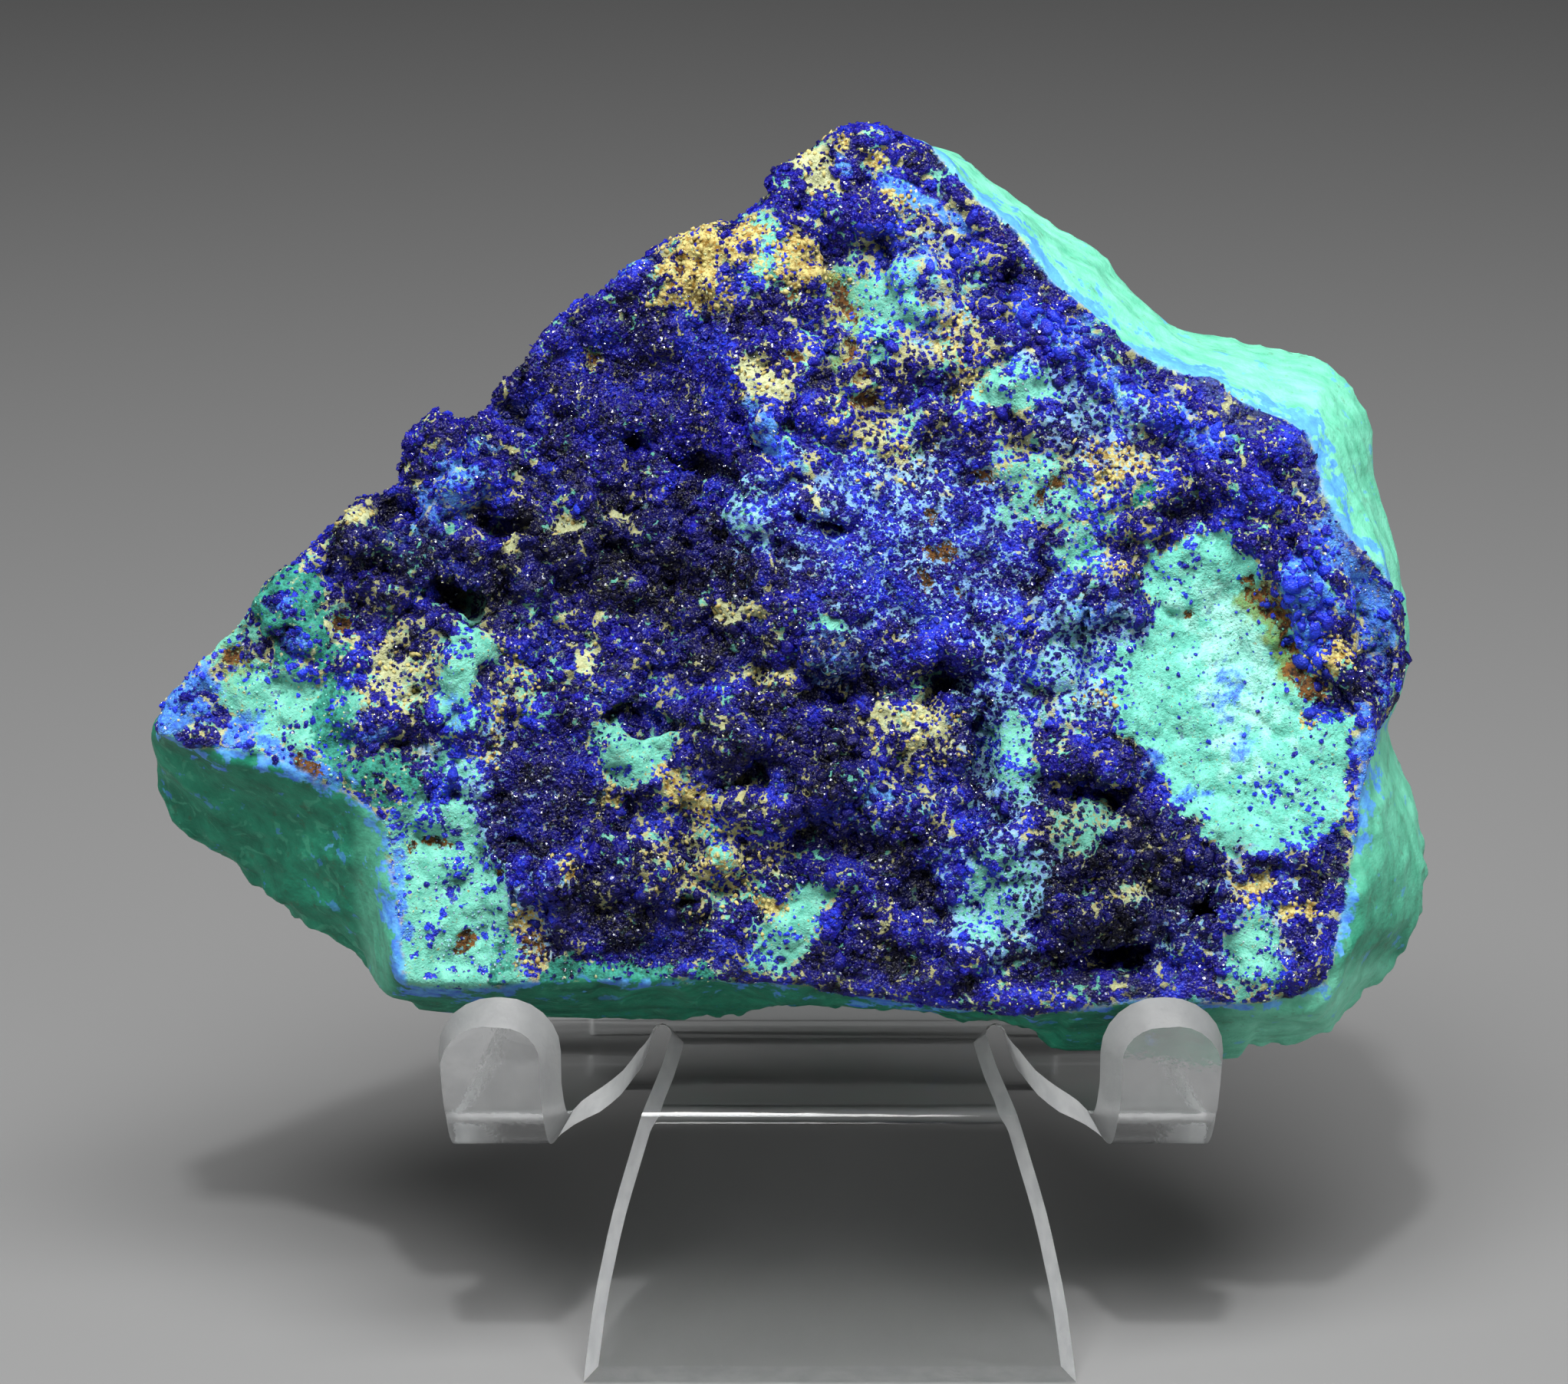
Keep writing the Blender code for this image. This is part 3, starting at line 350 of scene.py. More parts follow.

# %% [markdown]
# ## Crevices, shade and how the grains sit
# More patches say how the crust is built, not what it is made of: where crevices cut in, where
# ledges keep the light out, which is painted on as shade, and where grains sit loosely, in tight
# clusters or as round knobs.

# %% Crevices, shaded zones and knobs
CREVICES = {
    "under the dark slope": (-13.6, 67.2, 2.8, 0.5, -10, 0.9),
    "beside the flake": (-9.6, 65.9, 2.4, 0.4, -14, 0.9),
    "by the hooked lump": (-23.6, 61.3, 2.0, 0.5, -20, 0.9),
    "below the slope": (-14.8, 62.9, 1.0, 0.5, 0, 1.0),
    "hooked lump's cavity": (-32.4, 59.1, 1.8, 0.45, 15, 0.9),
    "hooked lump's overhang": (-28.0, 56.5, 3.4, 0.7, -12, 1.0),
    "middle left": (-14.3, 47.4, 2.6, 0.5, 8, 1.0),
    "belly": (-6.7, 42.6, 3.1, 0.5, 4, 1.0),
    "below the left hollow": (-22.3, 38.1, 0.9, 0.4, 0, 1.0),
    "lower left": (-10.5, 33.7, 0.8, 0.4, 0, 1.0),
    "beside the wedge": (3.2, 33.4, 1.2, 0.5, 0, 1.0),
    "cavity of the lobe": (0.5, 48.9, 3.0, 1.0, -10, 1.0),
    "middle": (0.2, 61.4, 1.9, 0.5, -6, 1.0),
    "valley's head": (8.4, 50.1, 3.6, 1.4, -6, 0.8),
    "valley": (10.9, 45.3, 0.9, 3.4, 4, 0.8),
    "above the shelf": (19.8, 41.9, 2.9, 0.7, 6, 1.0),
    "shelf": (19.7, 30.4, 3.8, 0.6, 8, 0.8),
    "under the column": (26.9, 33.7, 1.9, 0.8, 10, 1.0),
    "pierced lump": (18.8, 55.6, 0.9, 0.7, 0, 1.0),
    "right of the belly": (5.2, 38.6, 1.2, 0.5, 20, 0.8),
    "left of the nub": (-29.6, 47.6, 0.6, 1.6, 10, 0.8),
}
# zones of painted shade: colours there are dimmed, as where ledges keep the light out
SHADED = {
    "left of the middle": (-14.0, 60.3, 9.4, 3.8, -6, 0.95),
    "dark slope": (-16.0, 70.5, 7.0, 6.0, 25, 0.37),
    "hooked lump": (-31.2, 59.6, 4.6, 3.0, 0, 0.9),
    "under the hooked lump": (-25.5, 57.8, 3.5, 2.2, -15, 0.9),
    "above the belly": (-8.6, 53.2, 6.4, 2.6, -8, 0.75),
    "left hollow": (-19.5, 43.5, 5.5, 5.5, 0, 0.55),
    "belly": (-3.5, 45.4, 7.0, 4.2, 0, 0.69),
    "lobe": (0.4, 51.6, 3.4, 2.4, -15, 0.85),
    "below the belly": (1.0, 38.5, 5.0, 3.5, 0, 0.6),
    "bottom left": (-15.0, 33.6, 7.0, 4.6, 0, 0.71),
    "bottom": (2.0, 29.8, 10.0, 1.8, 0, 0.6),
    "lower right": (21.0, 36.0, 7.4, 6.4, 0, 0.95),
    "valley": (10.4, 46.5, 2.6, 5.5, 4, 0.7),
    "pierced lump": (18.5, 55.2, 2.6, 1.8, 0, 0.6),
}
CLUSTERS = {
    "grapes, one": (-39.7, 55.9, 1.2, 1.1, 0, 1.0),
    "grapes, two": (-39.1, 53.3, 1.5, 1.0, 0, 1.0),
    "left of the corner ledge": (-33.4, 46.6, 1.7, 1.6, 0, 1.0),
    "corner ledge": (-27.8, 42.6, 1.6, 1.0, 0, 1.0),
    "on the nub": (-26.4, 48.0, 0.8, 0.8, 0, 0.8),
    "right of the pale patch": (36.3, 47.2, 1.5, 1.2, 0, 0.9),
    "lower right of the pale patch": (33.0, 41.8, 2.4, 0.9, -20, 0.35),
    "twisted lumps": (34.3, 55.2, 2.2, 4.0, 25, 1.0),
    "above the shelf": (24.0, 43.4, 0.9, 0.9, 0, 0.7),
}
LOOSE = {
    "upper": (3.0, 76.5, 8.6, 7.6, 20, 0.66),
    "left of the speckles": (1.5, 66.5, 8.0, 4.0, -20, 0.6),
    "upper right": (17.0, 65.6, 8.0, 5.0, -30, 0.6),
    "middle right": (16.5, 52.0, 5.0, 6.0, 0, 0.5),
    "left middle": (-24.5, 50.0, 6.0, 7.0, 0, 0.45),
    "lower middle": (-8.5, 36.0, 7.0, 6.0, -20, 0.5),
    "lower right": (27.0, 35.0, 8.0, 6.0, 0, 0.4),
    "right of the belly": (7.0, 44.0, 6.0, 5.0, 0, 0.4),
}
DUSKY = {
    "right rim": (37.0, 60.4, 2.0, 7.5, 24, 0.8),
    "upper right rim": (29.0, 70.4, 4.5, 1.2, -20, 0.6),
}
KNOBBY = {
    "under the peak": (7.2, 79.4, 5.0, 6.4, 15, 1.0),
    "upper crest": (16.0, 74.2, 6.4, 3.4, -38, 1.0),
    "right crest": (24.5, 69.0, 4.0, 2.4, -20, 0.7),
    "pierced lump": (19.3, 56.0, 3.0, 2.6, 0, 0.9),
    "twisted lumps": (34.2, 55.0, 2.6, 4.4, 20, 0.9),
    "lower right": (24.0, 36.5, 7.0, 5.5, 0, 0.6),
    "bottom left": (-16.0, 34.6, 6.0, 4.4, 0, 0.6),
    "belly": (0.5, 44.0, 9.0, 3.0, 0, 0.4),
}
print("crevices:", len(CREVICES), "shaded zones:", len(SHADED), "knobby zones:", len(KNOBBY))
print("clusters:", len(CLUSTERS), "loose zones:", len(LOOSE), "dusky zones:", len(DUSKY))

# %% [markdown]
# ## Reading a patch at a point
# A patch is an ellipse, so a point's share comes from its distance in half-widths. Noise added
# to that distance makes the border ragged. An outline needs the distance to its nearest side.

# %% Patches and outlines at a point
def patch(u, v, ragged, form):
    """How fully one patch covers each point, with a ragged edge."""
    centre_u, centre_v, half_u, half_v, turn, strength = form
    angle = math.radians(turn)
    along = (u - centre_u) * math.cos(angle) + (v - centre_v) * math.sin(angle)
    across = (v - centre_v) * math.cos(angle) - (u - centre_u) * math.sin(angle)
    reach = np.sqrt((along / half_u) ** 2 + (across / half_v) ** 2) + ragged
    return strength * ease(-reach, -1.4, -0.6)


def coverage(u, v, ragged, patches):
    return np.max([patch(u, v, ragged, form) for form in patches.values()], axis=0)


def inside(u, v, outline):
    """Distance in millimetres inside the outline, less than nothing outside it."""
    corners = np.array(outline)
    nearest = np.full(len(u), 1e9)
    within = np.zeros(len(u), bool)
    for start, end in zip(corners, np.roll(corners, -1, axis=0)):
        edge = end - start
        share = ((u - start[0]) * edge[0] + (v - start[1]) * edge[1]) / (edge @ edge)
        share = np.clip(share, 0, 1)
        gap = np.hypot(u - start[0] - share * edge[0], v - start[1] - share * edge[1])
        nearest = np.minimum(nearest, gap)
        crosses = (start[1] > v) != (end[1] > v)
        rise = end[1] - start[1]
        meets = start[0] + (v - start[1]) * edge[0] / (rise if rise else 1e-9)
        within ^= crosses & (u < meets)
    return np.where(within, nearest, -nearest)


room = inside(np.zeros(1), np.full(1, 60.0), BLUE_FACE)[0]
print(f"the middle of the blue face is {room:.1f} mm from its outline")

# %% [markdown]
# ## The stone's skin
# The solid stone is a light mesh with flat facets. Sculpting its crust by hand would take days,
# and a bump in the material alone would leave a smooth outline. So its copy is merged, remeshed
# into small even faces and smoothed a little, ready for real relief in the next steps.

# %% A fine copy of the stone
SKIN_VOXEL = 0.33
SKIN_TRIANGLES = 190000


def points_of(mesh):
    flat = np.empty(len(mesh.vertices) * 3)
    mesh.vertices.foreach_get("co", flat)
    return flat.reshape(-1, 3)


def normals_of(mesh):
    flat = np.empty(len(mesh.vertices) * 3)
    mesh.vertex_normals.foreach_get("vector", flat)
    return flat.reshape(-1, 3)


def merged_copy(node, name):
    """A copy of a solid's mesh with its loose triangles joined."""
    shape = bmesh.new()
    shape.from_mesh(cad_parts[node].data)
    bmesh.ops.remove_doubles(shape, verts=shape.verts[:], dist=1e-6)
    mesh = bpy.data.meshes.new(name)
    shape.to_mesh(mesh)
    shape.free()
    return mesh


def shaped(mesh, name, add_modifiers):
    """The mesh after its modifiers, as a plain mesh."""
    holder = in_scene(name + "_work", mesh)
    add_modifiers(holder)
    graph = bpy.context.evaluated_depsgraph_get()
    result = bpy.data.meshes.new_from_object(holder.evaluated_get(graph))
    result.name = name
    bpy.data.objects.remove(holder, do_unlink=True)
    return result


def even_and_smooth(holder):
    remesh = holder.modifiers.new("even", "REMESH")
    remesh.mode = "VOXEL"
    remesh.voxel_size = SKIN_VOXEL * MM
    smooth = holder.modifiers.new("soften", "SMOOTH")
    smooth.factor = 0.5
    smooth.iterations = 6


skin = shaped(merged_copy("azurite_malachite_stone", "skin"), "skin", even_and_smooth)
print(f"fine copy of the stone: {len(skin.polygons)} faces")


# %% [markdown]
# ## What each point is made of
# On the real stone the minerals overlap, and each one thins out at its border. So every point
# of the skin gets a share from 0 to 1 of each mineral. The patches are bent by soft noise first,
# which turns ellipses into natural blots. The blue grains cover what the other minerals leave.

# %% How fully blue grains cover each point
def blue_cover(mm, u, v, ragged, share):
    """Nearly everywhere, thin in gaps, strewn over the bare minerals."""
    bare = np.max([share[name] for name in ("turquoise", "cream", "ochre", "green")], axis=0)
    bare = np.maximum(bare, share["rust"])
    heart = ease(inside(u, v, PALE_PATCH), 0.6, 2.4)
    strewn = ease(clouds(mm, 1.3, 71) + 0.6 * clouds(mm, 0.55, 72), 0.12, 0.55) * (1 - heart)
    gaps = ease(clouds(mm, 0.95, 73) + 0.8 * clouds(mm, 0.45, 74), 0.3, 0.8)
    loose = coverage(u, v, ragged, LOOSE) * (0.5 + 0.5 * clouds(mm, 1.7, 75))
    thinned = (0.45 * gaps + 0.6 * loose) * (1 - share["dense"]) * (1 - 0.45 * share["fine"])
    # painted shade too: the shaded zones keep more blue and show less pale ground
    over_blue = 0.95 - thinned * (1 - 0.5 * share["shade"])
    over_bare = 0.03 + 0.54 * strewn * (1 - share["rust"])
    cover = over_blue * (1 - bare) + over_bare * bare
    cover = cover * (1 - 0.5 * share["azure"])
    cover = np.maximum(cover, 0.95 * coverage(u, v, ragged, CLUSTERS))
    return cover * (1 - share["side"]) * (1 - 0.3 * share["dusky"])


# %% The shares of the minerals
def minerals(points):
    """Every mineral's share at each point, by name."""
    u, v, depth = on_the_face(points)
    mm = points / MM
    ragged = 0.42 * clouds(mm, 1.6, 11) + 0.36 * clouds(mm, 0.7, 12) + 0.2 * clouds(mm, 0.4, 19)
    drift_u = 0.9 * clouds(mm, 3.2, 15) + 0.4 * clouds(mm, 1.1, 16)
    drift_v = 0.9 * clouds(mm, 3.2, 17) + 0.4 * clouds(mm, 1.1, 18)
    edge = inside(u, v, BLUE_FACE) + 0.25 * clouds(mm, 1.1, 13)
    # the blue crust ends at the face's edge, or deeper where it hangs over the right rim
    steep_blue = patch(u, v, 0.0, (41.0, 52.5, 2.6, 6.5, 0, 1.0))
    limit = 1.5 + 3.0 * ease(edge, 0.5, 2.2) + 3.5 * steep_blue
    side = np.maximum(ease(-edge, -0.12, 0.12), ease(depth, limit - 0.2, limit + 0.2))
    pale = ease(inside(u, v, PALE_PATCH) + ragged * 1.7, -0.3, 0.5)
    corner = ease(inside(u, v, LOWER_LEFT_PATCH) + ragged * 1.4, -0.3, 0.5)
    u = u + drift_u
    v = v + drift_v
    turquoise = np.max([coverage(u, v, ragged, TURQUOISE), pale * 0.98, corner * 0.93], axis=0)
    share = {
        "turquoise": turquoise,
        "cream": coverage(u, v, ragged, CREAM),
        "ochre": coverage(u, v, ragged, OCHRE),
        "rust": coverage(u, v, ragged, RUST),
        "stain": coverage(u, v, ragged, STAINED),
        "green": coverage(u, v, ragged, GREEN),
        "azure": coverage(u, v, ragged, AZURE),
        "dense": coverage(u, v, ragged, DENSE),
        "cool": coverage(u, v, ragged, COOL),
        "fine": coverage(u, v, ragged, FINE),
        "crevice": coverage(u, v, 1.9 * ragged + 0.3, CREVICES) * (1 - side),
        "shade": coverage(u, v, 1.3 * ragged, SHADED) * (0.9 + 0.1 * clouds(mm, 2.2, 77)),
        "knobby": coverage(u, v, ragged, KNOBBY),
        "dusky": coverage(u, v, ragged, DUSKY) * (1 - side),
        "pale": pale,
        "chalk": pale * patch(u, v, 1.4 * ragged, (29.2, 50.8, 2.8, 6.6, 15, 1.0)),
        "side": side,
    }
    share["cover"] = blue_cover(mm, u, v, ragged, share)
    share["edge"] = edge
    return share


share = minerals(points_of(skin))
print("share of blue grains on the skin:", round(float(share["cover"].mean()), 3))

# %% [markdown]
# ## Relief of the crust and the sides
# Azurite grows in balls that sit on larger balls, so the relief is a sum of domes of three sizes,
# with ledges that run along the face, woolly malachite, pitted rust and sunken crevices. Painted
# shade darkens the hollows and crevices as well. The sides broke, so they get shallow scoops, and
# a torn fringe low down behind. Nothing rises beside the lips and ledges of the stand, which carry
# the stone.

# %% Where the skin may rise, and the relief of the broken sides
def clear_of_stand(points):
    """1 where the skin may rise, 0 beside the lips and ledges that carry the stone."""
    x = np.abs(points[:, 0] / MM - middle_x)
    z = points[:, 2] / MM
    # the lips and ledges lie 17 to 31 mm to each side, and reach 31 mm high
    at_lips = ease(x, 16.5, 17.5) * ease(-x, -31.5, -30.5) * ease(-z, -31.5, -30.5)
    return 1 - at_lips


def broken_relief(mm, v, depth):
    """Scoops that go into the sides. Only the torn fringe behind sticks out."""
    scoops = 0.8 * np.abs(clouds(mm, 5.0, 81)) + 0.25 * np.abs(clouds(mm, 1.7, 82))
    torn = ease(depth, 8.0, 10.0) * ease(-v, -44.0, -32.0)
    broken = 0.22 * ease(-depth, -8.0, -6.0) - scoops
    return broken + torn * (0.55 * clouds(mm, 1.7, 83) + 0.3 * clouds(mm, 0.8, 84) - 0.2)


points = points_of(skin)
free = clear_of_stand(points)
print("share of the skin beside the lips and ledges:", round(float((free < 0.5).mean()), 3))


# %% The relief of the crust
def dome(near_and_gap, reach):
    """A round top over each knob's middle, 0 where knobs meet."""
    return np.sqrt(np.clip(1 - (near_and_gap[0] / reach) ** 2, 0, 1))


def crust_relief(points, share):
    """How far the stone rises, in millimetres, and how much painted shade each point gets in the
    hollows.
    """
    mm = points / MM
    blue = share["cover"]
    calm = 1 - 0.6 * share["fine"]

    # balls on balls, and ledges that run along the face
    clump = dome(knobs(mm, 2.5, 24), 0.74)
    ball = dome(knobs(mm, 1.3, 21), 0.76)
    small_ball = dome(knobs(mm, 0.7, 31), 0.8)
    rough = 0.45 + 0.55 * blue
    height = rough * (calm * (1.0 * clump + 0.55 * ball - 0.92) + 0.2 * small_ball)
    height += calm * 0.4 * clouds(mm, 3.6, 25)
    u, v, depth = on_the_face(points)
    ledges = clouds(np.stack([u * 0.45 + v * 0.12, v, depth], axis=1), 2.4, 26)
    height += calm * 0.95 * (0.3 + 0.7 * blue) * ledges

    # the other minerals, each with its own surface
    grape = dome(knobs(mm, 1.0, 41), 0.85)
    height += share["green"] * (0.34 * grape - 0.2)
    woolly = 0.12 * clouds(mm, 0.9, 51) + 0.1 * clouds(mm, 0.5, 52)
    height += share["turquoise"] * (woolly + 0.14 * clouds(mm, 3.1, 53))
    height += np.maximum(share["ochre"], share["cream"]) * 0.24 * clouds(mm, 0.7, 54)
    height -= share["rust"] * 0.35 + share["crevice"] * 0.9

    # painted shade in the hollows between the balls, the crevices and the rusty pits, and gloomy
    # gaps sunk into the shaded zones, painted dark too
    low = ease(0.55 - 0.6 * clump - 0.4 * ball, 0.0, 0.4)
    low = np.clip(low + 0.5 * ease(-ledges, 0.1, 0.6), 0, 1)
    painted_hollow_shade = np.maximum(0.95 * share["crevice"], low * blue * (0.55 + 0.45 * calm))
    painted_hollow_shade = np.maximum(painted_hollow_shade, 0.55 * ease(share["rust"], 0.6, 0.95))
    gaps = ease(clouds(mm, 1.5, 78) + 0.6 * clouds(mm, 0.7, 79), 0.05, 0.5)
    gloom = share["shade"] * gaps * blue
    height -= 0.5 * gloom
    painted_hollow_shade = np.maximum(painted_hollow_shade, 0.95 * gloom)
    height = height * (0.25 + 0.75 * ease(share["edge"], 0.4, 2.6))
    height = height * (1 - share["side"]) + broken_relief(mm, v, depth) * share["side"]
    return height, painted_hollow_shade * (1 - share["side"])


rise, painted_hollow_shade = crust_relief(points, share)
print(f"relief from {rise.min():.2f} to {rise.max():.2f} mm")


# %% Raise the skin and keep the shares on its points
def store(mesh, name, values):
    attribute = mesh.attributes.new(name, "FLOAT", "POINT")
    attribute.data.foreach_set("value", np.asarray(values, dtype=np.float32))


points = points + normals_of(skin) * (rise * free * MM)[:, None]
skin.vertices.foreach_set("co", points.ravel())
skin.update()
# painted shade for the hollows and crevices, kept with the shares
store(skin, "painted_hollow_shade", painted_hollow_shade)
store(skin, "free", free)
for name in share:
    store(skin, name, share[name])
print("shares kept on the skin:", len(skin.attributes))


# %% [markdown]
# ## A lighter skin, and where grains may grow
# A decimate takes faces away where the surface is flat and leaves the knobs. The shares are
# stored on the points, so they survive it. From them come the places for each kind of grain:
# large ones on the clumps, fine ones on the velvety parts, flecks where the ground shows.

# %% Lighter mesh and the places of the grains
def thin(holder):
    holder.modifiers.new("triangles", "TRIANGULATE")
    fewer = holder.modifiers.new("fewer", "DECIMATE")
    triangles = sum(len(face.vertices) - 2 for face in holder.data.polygons)
    fewer.ratio = min(1.0, SKIN_TRIANGLES / triangles)


def read(mesh, name):
    values = np.empty(len(mesh.vertices))
    mesh.attributes[name].data.foreach_get("value", values)
    return values


skin = shaped(skin, "azurite_skin", thin)
share = {name: read(skin, name) for name in [*share, "painted_hollow_shade", "free"]}
spots = points_of(skin) / MM
open_skin = share["free"] * (1 - share["side"]) * (1 - 0.6 * share["crevice"])
clumped = ease(clouds(spots, 1.7, 61), -0.5, 0.3)
off_rim = 0.15 + 0.85 * ease(share["edge"], 0.5, 2.4)
places = {
    "grains": share["cover"] * (0.5 + 0.5 * clumped) * (1 - 0.85 * share["fine"]) * open_skin
              * off_rim,
    "small_grains": share["cover"] * (0.6 + 0.4 * clumped) * open_skin * (0.4 + 0.6 * off_rim),
    "fine_grains": share["cover"] * share["fine"] * open_skin,
    "bits": np.maximum(share["ochre"], share["cream"] * 0.8) * open_skin,
    "buds": np.clip(share["turquoise"] - 0.3, 0, 1) * open_skin,
    "blades": share["dense"] * open_skin,
    "knobs": (0.05 + 0.95 * share["knobby"]) * ease(share["cover"], 0.3, 0.8) * open_skin
             * (1 - share["fine"]) * off_rim,
    # fewer pale flecks in the shaded zones, as painted shade
    "flecks": (0.22 + 0.5 * share["cool"]) * (1 - share["dense"]) * (1 - 0.4 * share["shade"])
              * (1 - share["pale"]) * open_skin,
}
clumped = ease(clouds(spots, 2.6, 62), -0.4, 0.3)
thick = ease(share["cover"], 0.4, 0.8) * open_skin
places["rosettes"] = thick * clumped * (1 - 0.9 * share["fine"]) * off_rim
for name in places:
    store(skin, name, places[name])
skin.polygons.foreach_set("use_smooth", np.ones(len(skin.polygons), bool))
print(f"skin: {len(skin.polygons)} triangles")

# %% [markdown]
# ## Colours and node helpers
# Each finish is a Principled shader fed by nodes. `speckled` decides grain by grain which of two
# colours shows: it compares a stored share with a fine noise, so that a share of one half gives
# a sharp speckle instead of a muddy mixture. That is how such crusts look close up.

# %% Colours by number
def paint(red, green, blue):
    """A shader colour from the 0 to 255 values of a colour chart."""
    chart = [value / 255 for value in (red, green, blue)]
    return [c / 12.92 if c <= 0.04045 else ((c + 0.055) / 1.055) ** 2.4 for c in chart] + [1.0]


# near black, for painted shade in the hollows and shaded zones
SHADE_BLACK = (0.001, 0.001, 0.004, 1.0)
GLINT = (0.86, 0.9, 1.0, 1.0)
print("mid grey as a shader colour:", [round(value, 3) for value in paint(128, 128, 128)])

# %% Making nodes
def new_material(name):
    material = bpy.data.materials.new(name)
    material.use_nodes = True
    tree = material.node_tree
    return material, tree, tree.nodes["Principled BSDF"]


def node(tree, kind, inputs=(), **settings):
    """A node with its settings, and its inputs set to a value or wired to a socket."""
    made = tree.nodes.new(kind)
    for name, value in settings.items():
        setattr(made, name, value)
    for key, value in dict(inputs).items():
        if isinstance(value, bpy.types.NodeSocket):
            tree.links.new(value, made.inputs[key])
        else:
            made.inputs[key].default_value = value
    return made


def maths(tree, operation, first, second):
    return node(tree, "ShaderNodeMath", {0: first, 1: second}, operation=operation).outputs[0]


def plus(tree, first, second):
    return maths(tree, "ADD", first, second)


def minus(tree, first, second):
    return maths(tree, "SUBTRACT", first, second)


def times(tree, first, second):
    return maths(tree, "MULTIPLY", first, second)


def spread(tree, value, low, high, out_low=0.0, out_high=1.0):
    """A value from low to high, spread over the range from out_low to out_high."""
    inputs = {0: value, 1: low, 2: high, 3: out_low, 4: out_high}
    return node(tree, "ShaderNodeMapRange", inputs, clamp=True).outputs[0]


def mixed(tree, share, under, over):
    """The colour under where the share is 0, and the colour over where it is 1."""
    inputs = {0: share, 6: under, 7: over}
    return node(tree, "ShaderNodeMix", inputs, data_type="RGBA").outputs[2]


# %% Patterns on a piece
def place(tree):
    """The spot on the piece itself, so that no pattern slides when the view turns."""
    return node(tree, "ShaderNodeTexCoord").outputs["Object"]


def noise_of(tree, spot, size, detail=2.0, rough=0.5, twist=0.0):
    """Noise with features of a size in millimetres."""
    inputs = {"Vector": spot, "Scale": 1 / (size * MM), "Detail": detail, "Roughness": rough,
              "Distortion": twist}
    return node(tree, "ShaderNodeTexNoise", inputs).outputs["Fac"]


def cells_of(tree, spot, size):
    """Packed cells of a size in millimetres."""
    return node(tree, "ShaderNodeTexVoronoi", {"Vector": spot, "Scale": 1 / (size * MM)})


def stored(tree, name):
    """A share or a tone that the mesh carries at its points."""
    return node(tree, "ShaderNodeAttribute", attribute_name=name).outputs["Fac"]


def speckled(tree, share, chance, sharp=0.07):
    """1 where the share beats the chance, 0 elsewhere."""
    return spread(tree, minus(tree, share, chance), -sharp, sharp)


def bumped(tree, height, depth):
    """A bump as deep as a number of millimetres."""
    inputs = {"Height": height, "Distance": depth * MM, "Strength": 1.0}
    return node(tree, "ShaderNodeBump", inputs).outputs["Normal"]


# %% [markdown]
# ## The crust and the smooth sides
# One material covers the whole stone, because the real stone is one piece whose minerals run
# into each other. Its stack goes from the matrix up: sandy ground, cream, turquoise, ochre,
# velvety green, then azurite grains, light azure smears, olive stains and rusty spots last.

# %% Colours of the minerals
SAND = paint(150, 142, 92)
CREAM_COLOUR = (paint(206, 212, 168), paint(150, 154, 106))
COOL_COLOUR = (paint(66, 108, 190), paint(160, 208, 230))
OCHRE_COLOUR = (paint(198, 188, 120), paint(140, 106, 38))
PALE_COLOUR = (paint(126, 216, 194), paint(84, 172, 154))
CHALK_COLOUR = (paint(164, 228, 214), paint(122, 202, 184))
MINT_COLOUR = (paint(132, 212, 190), paint(70, 154, 134))
GREEN_COLOUR = (paint(62, 164, 144), paint(16, 76, 62))
STAIN_COLOUR = (paint(98, 160, 70), paint(120, 118, 44))
RUST_COLOUR = (paint(142, 94, 36), paint(40, 24, 10))
AZURE_COLOUR = (paint(96, 168, 236), paint(36, 74, 204))
AZURITE_COLOUR = (paint(4, 2, 32), paint(22, 16, 138), paint(40, 66, 226))
RIND_COLOUR = paint(100, 180, 228)
DUSKY_COLOUR = (paint(66, 84, 160), paint(38, 34, 96))
# the first two greens are the side in light and the last two the side in shade: painted light and
# shade
SIDE_COLOUR = (paint(132, 220, 190), paint(90, 182, 148), paint(40, 146, 114), paint(12, 94, 72))
BACK_COLOUR = (paint(76, 150, 124), paint(34, 86, 70), paint(70, 54, 36))
PAIRS = (CREAM_COLOUR, COOL_COLOUR, OCHRE_COLOUR, PALE_COLOUR, CHALK_COLOUR, MINT_COLOUR,
         GREEN_COLOUR, STAIN_COLOUR, RUST_COLOUR, AZURE_COLOUR, DUSKY_COLOUR)
print("minerals with two tones:", len(PAIRS))


# %% Azurite's blue, hollows and glints
def azurite_colour(tree, spot, tone):
    """Deep blue that turns violet-blue where grains are thin, with a tone from 0 to 1."""
    fine = spread(tree, noise_of(tree, spot, 0.35, detail=3.0), 0.3, 0.7, 0.03, 0.39)
    broad = spread(tree, noise_of(tree, spot, 2.6, detail=2.0), 0.38, 0.62, -0.2, 0.28)
    level = plus(tree, times(tree, tone, 0.36), fine)
    level = plus(tree, level, broad)
    # painted shade: the blue is darker in the shaded zones
    level = minus(tree, level, times(tree, stored(tree, "shade"), 0.15))
    for name, lift in (("turquoise", 0.35), ("azure", 0.45)):
        level = plus(tree, level, times(tree, stored(tree, name), lift))
    low = mixed(tree, spread(tree, level, 0.0, 0.5), AZURITE_COLOUR[0], AZURITE_COLOUR[1])
    return mixed(tree, spread(tree, level, 0.5, 1.0), low, AZURITE_COLOUR[2])


def with_painted_shade(tree, colour, most=0.96, shaded=0.88):
    """The colour with painted shade: dimmer in a shaded zone and almost black deep between the
    clumps.
    """
    dim = times(tree, stored(tree, "shade"), shaded)
    dark = times(tree, stored(tree, "painted_hollow_shade"), most)
    return mixed(tree, maths(tree, "MAXIMUM", dim, dark), colour, SHADE_BLACK)


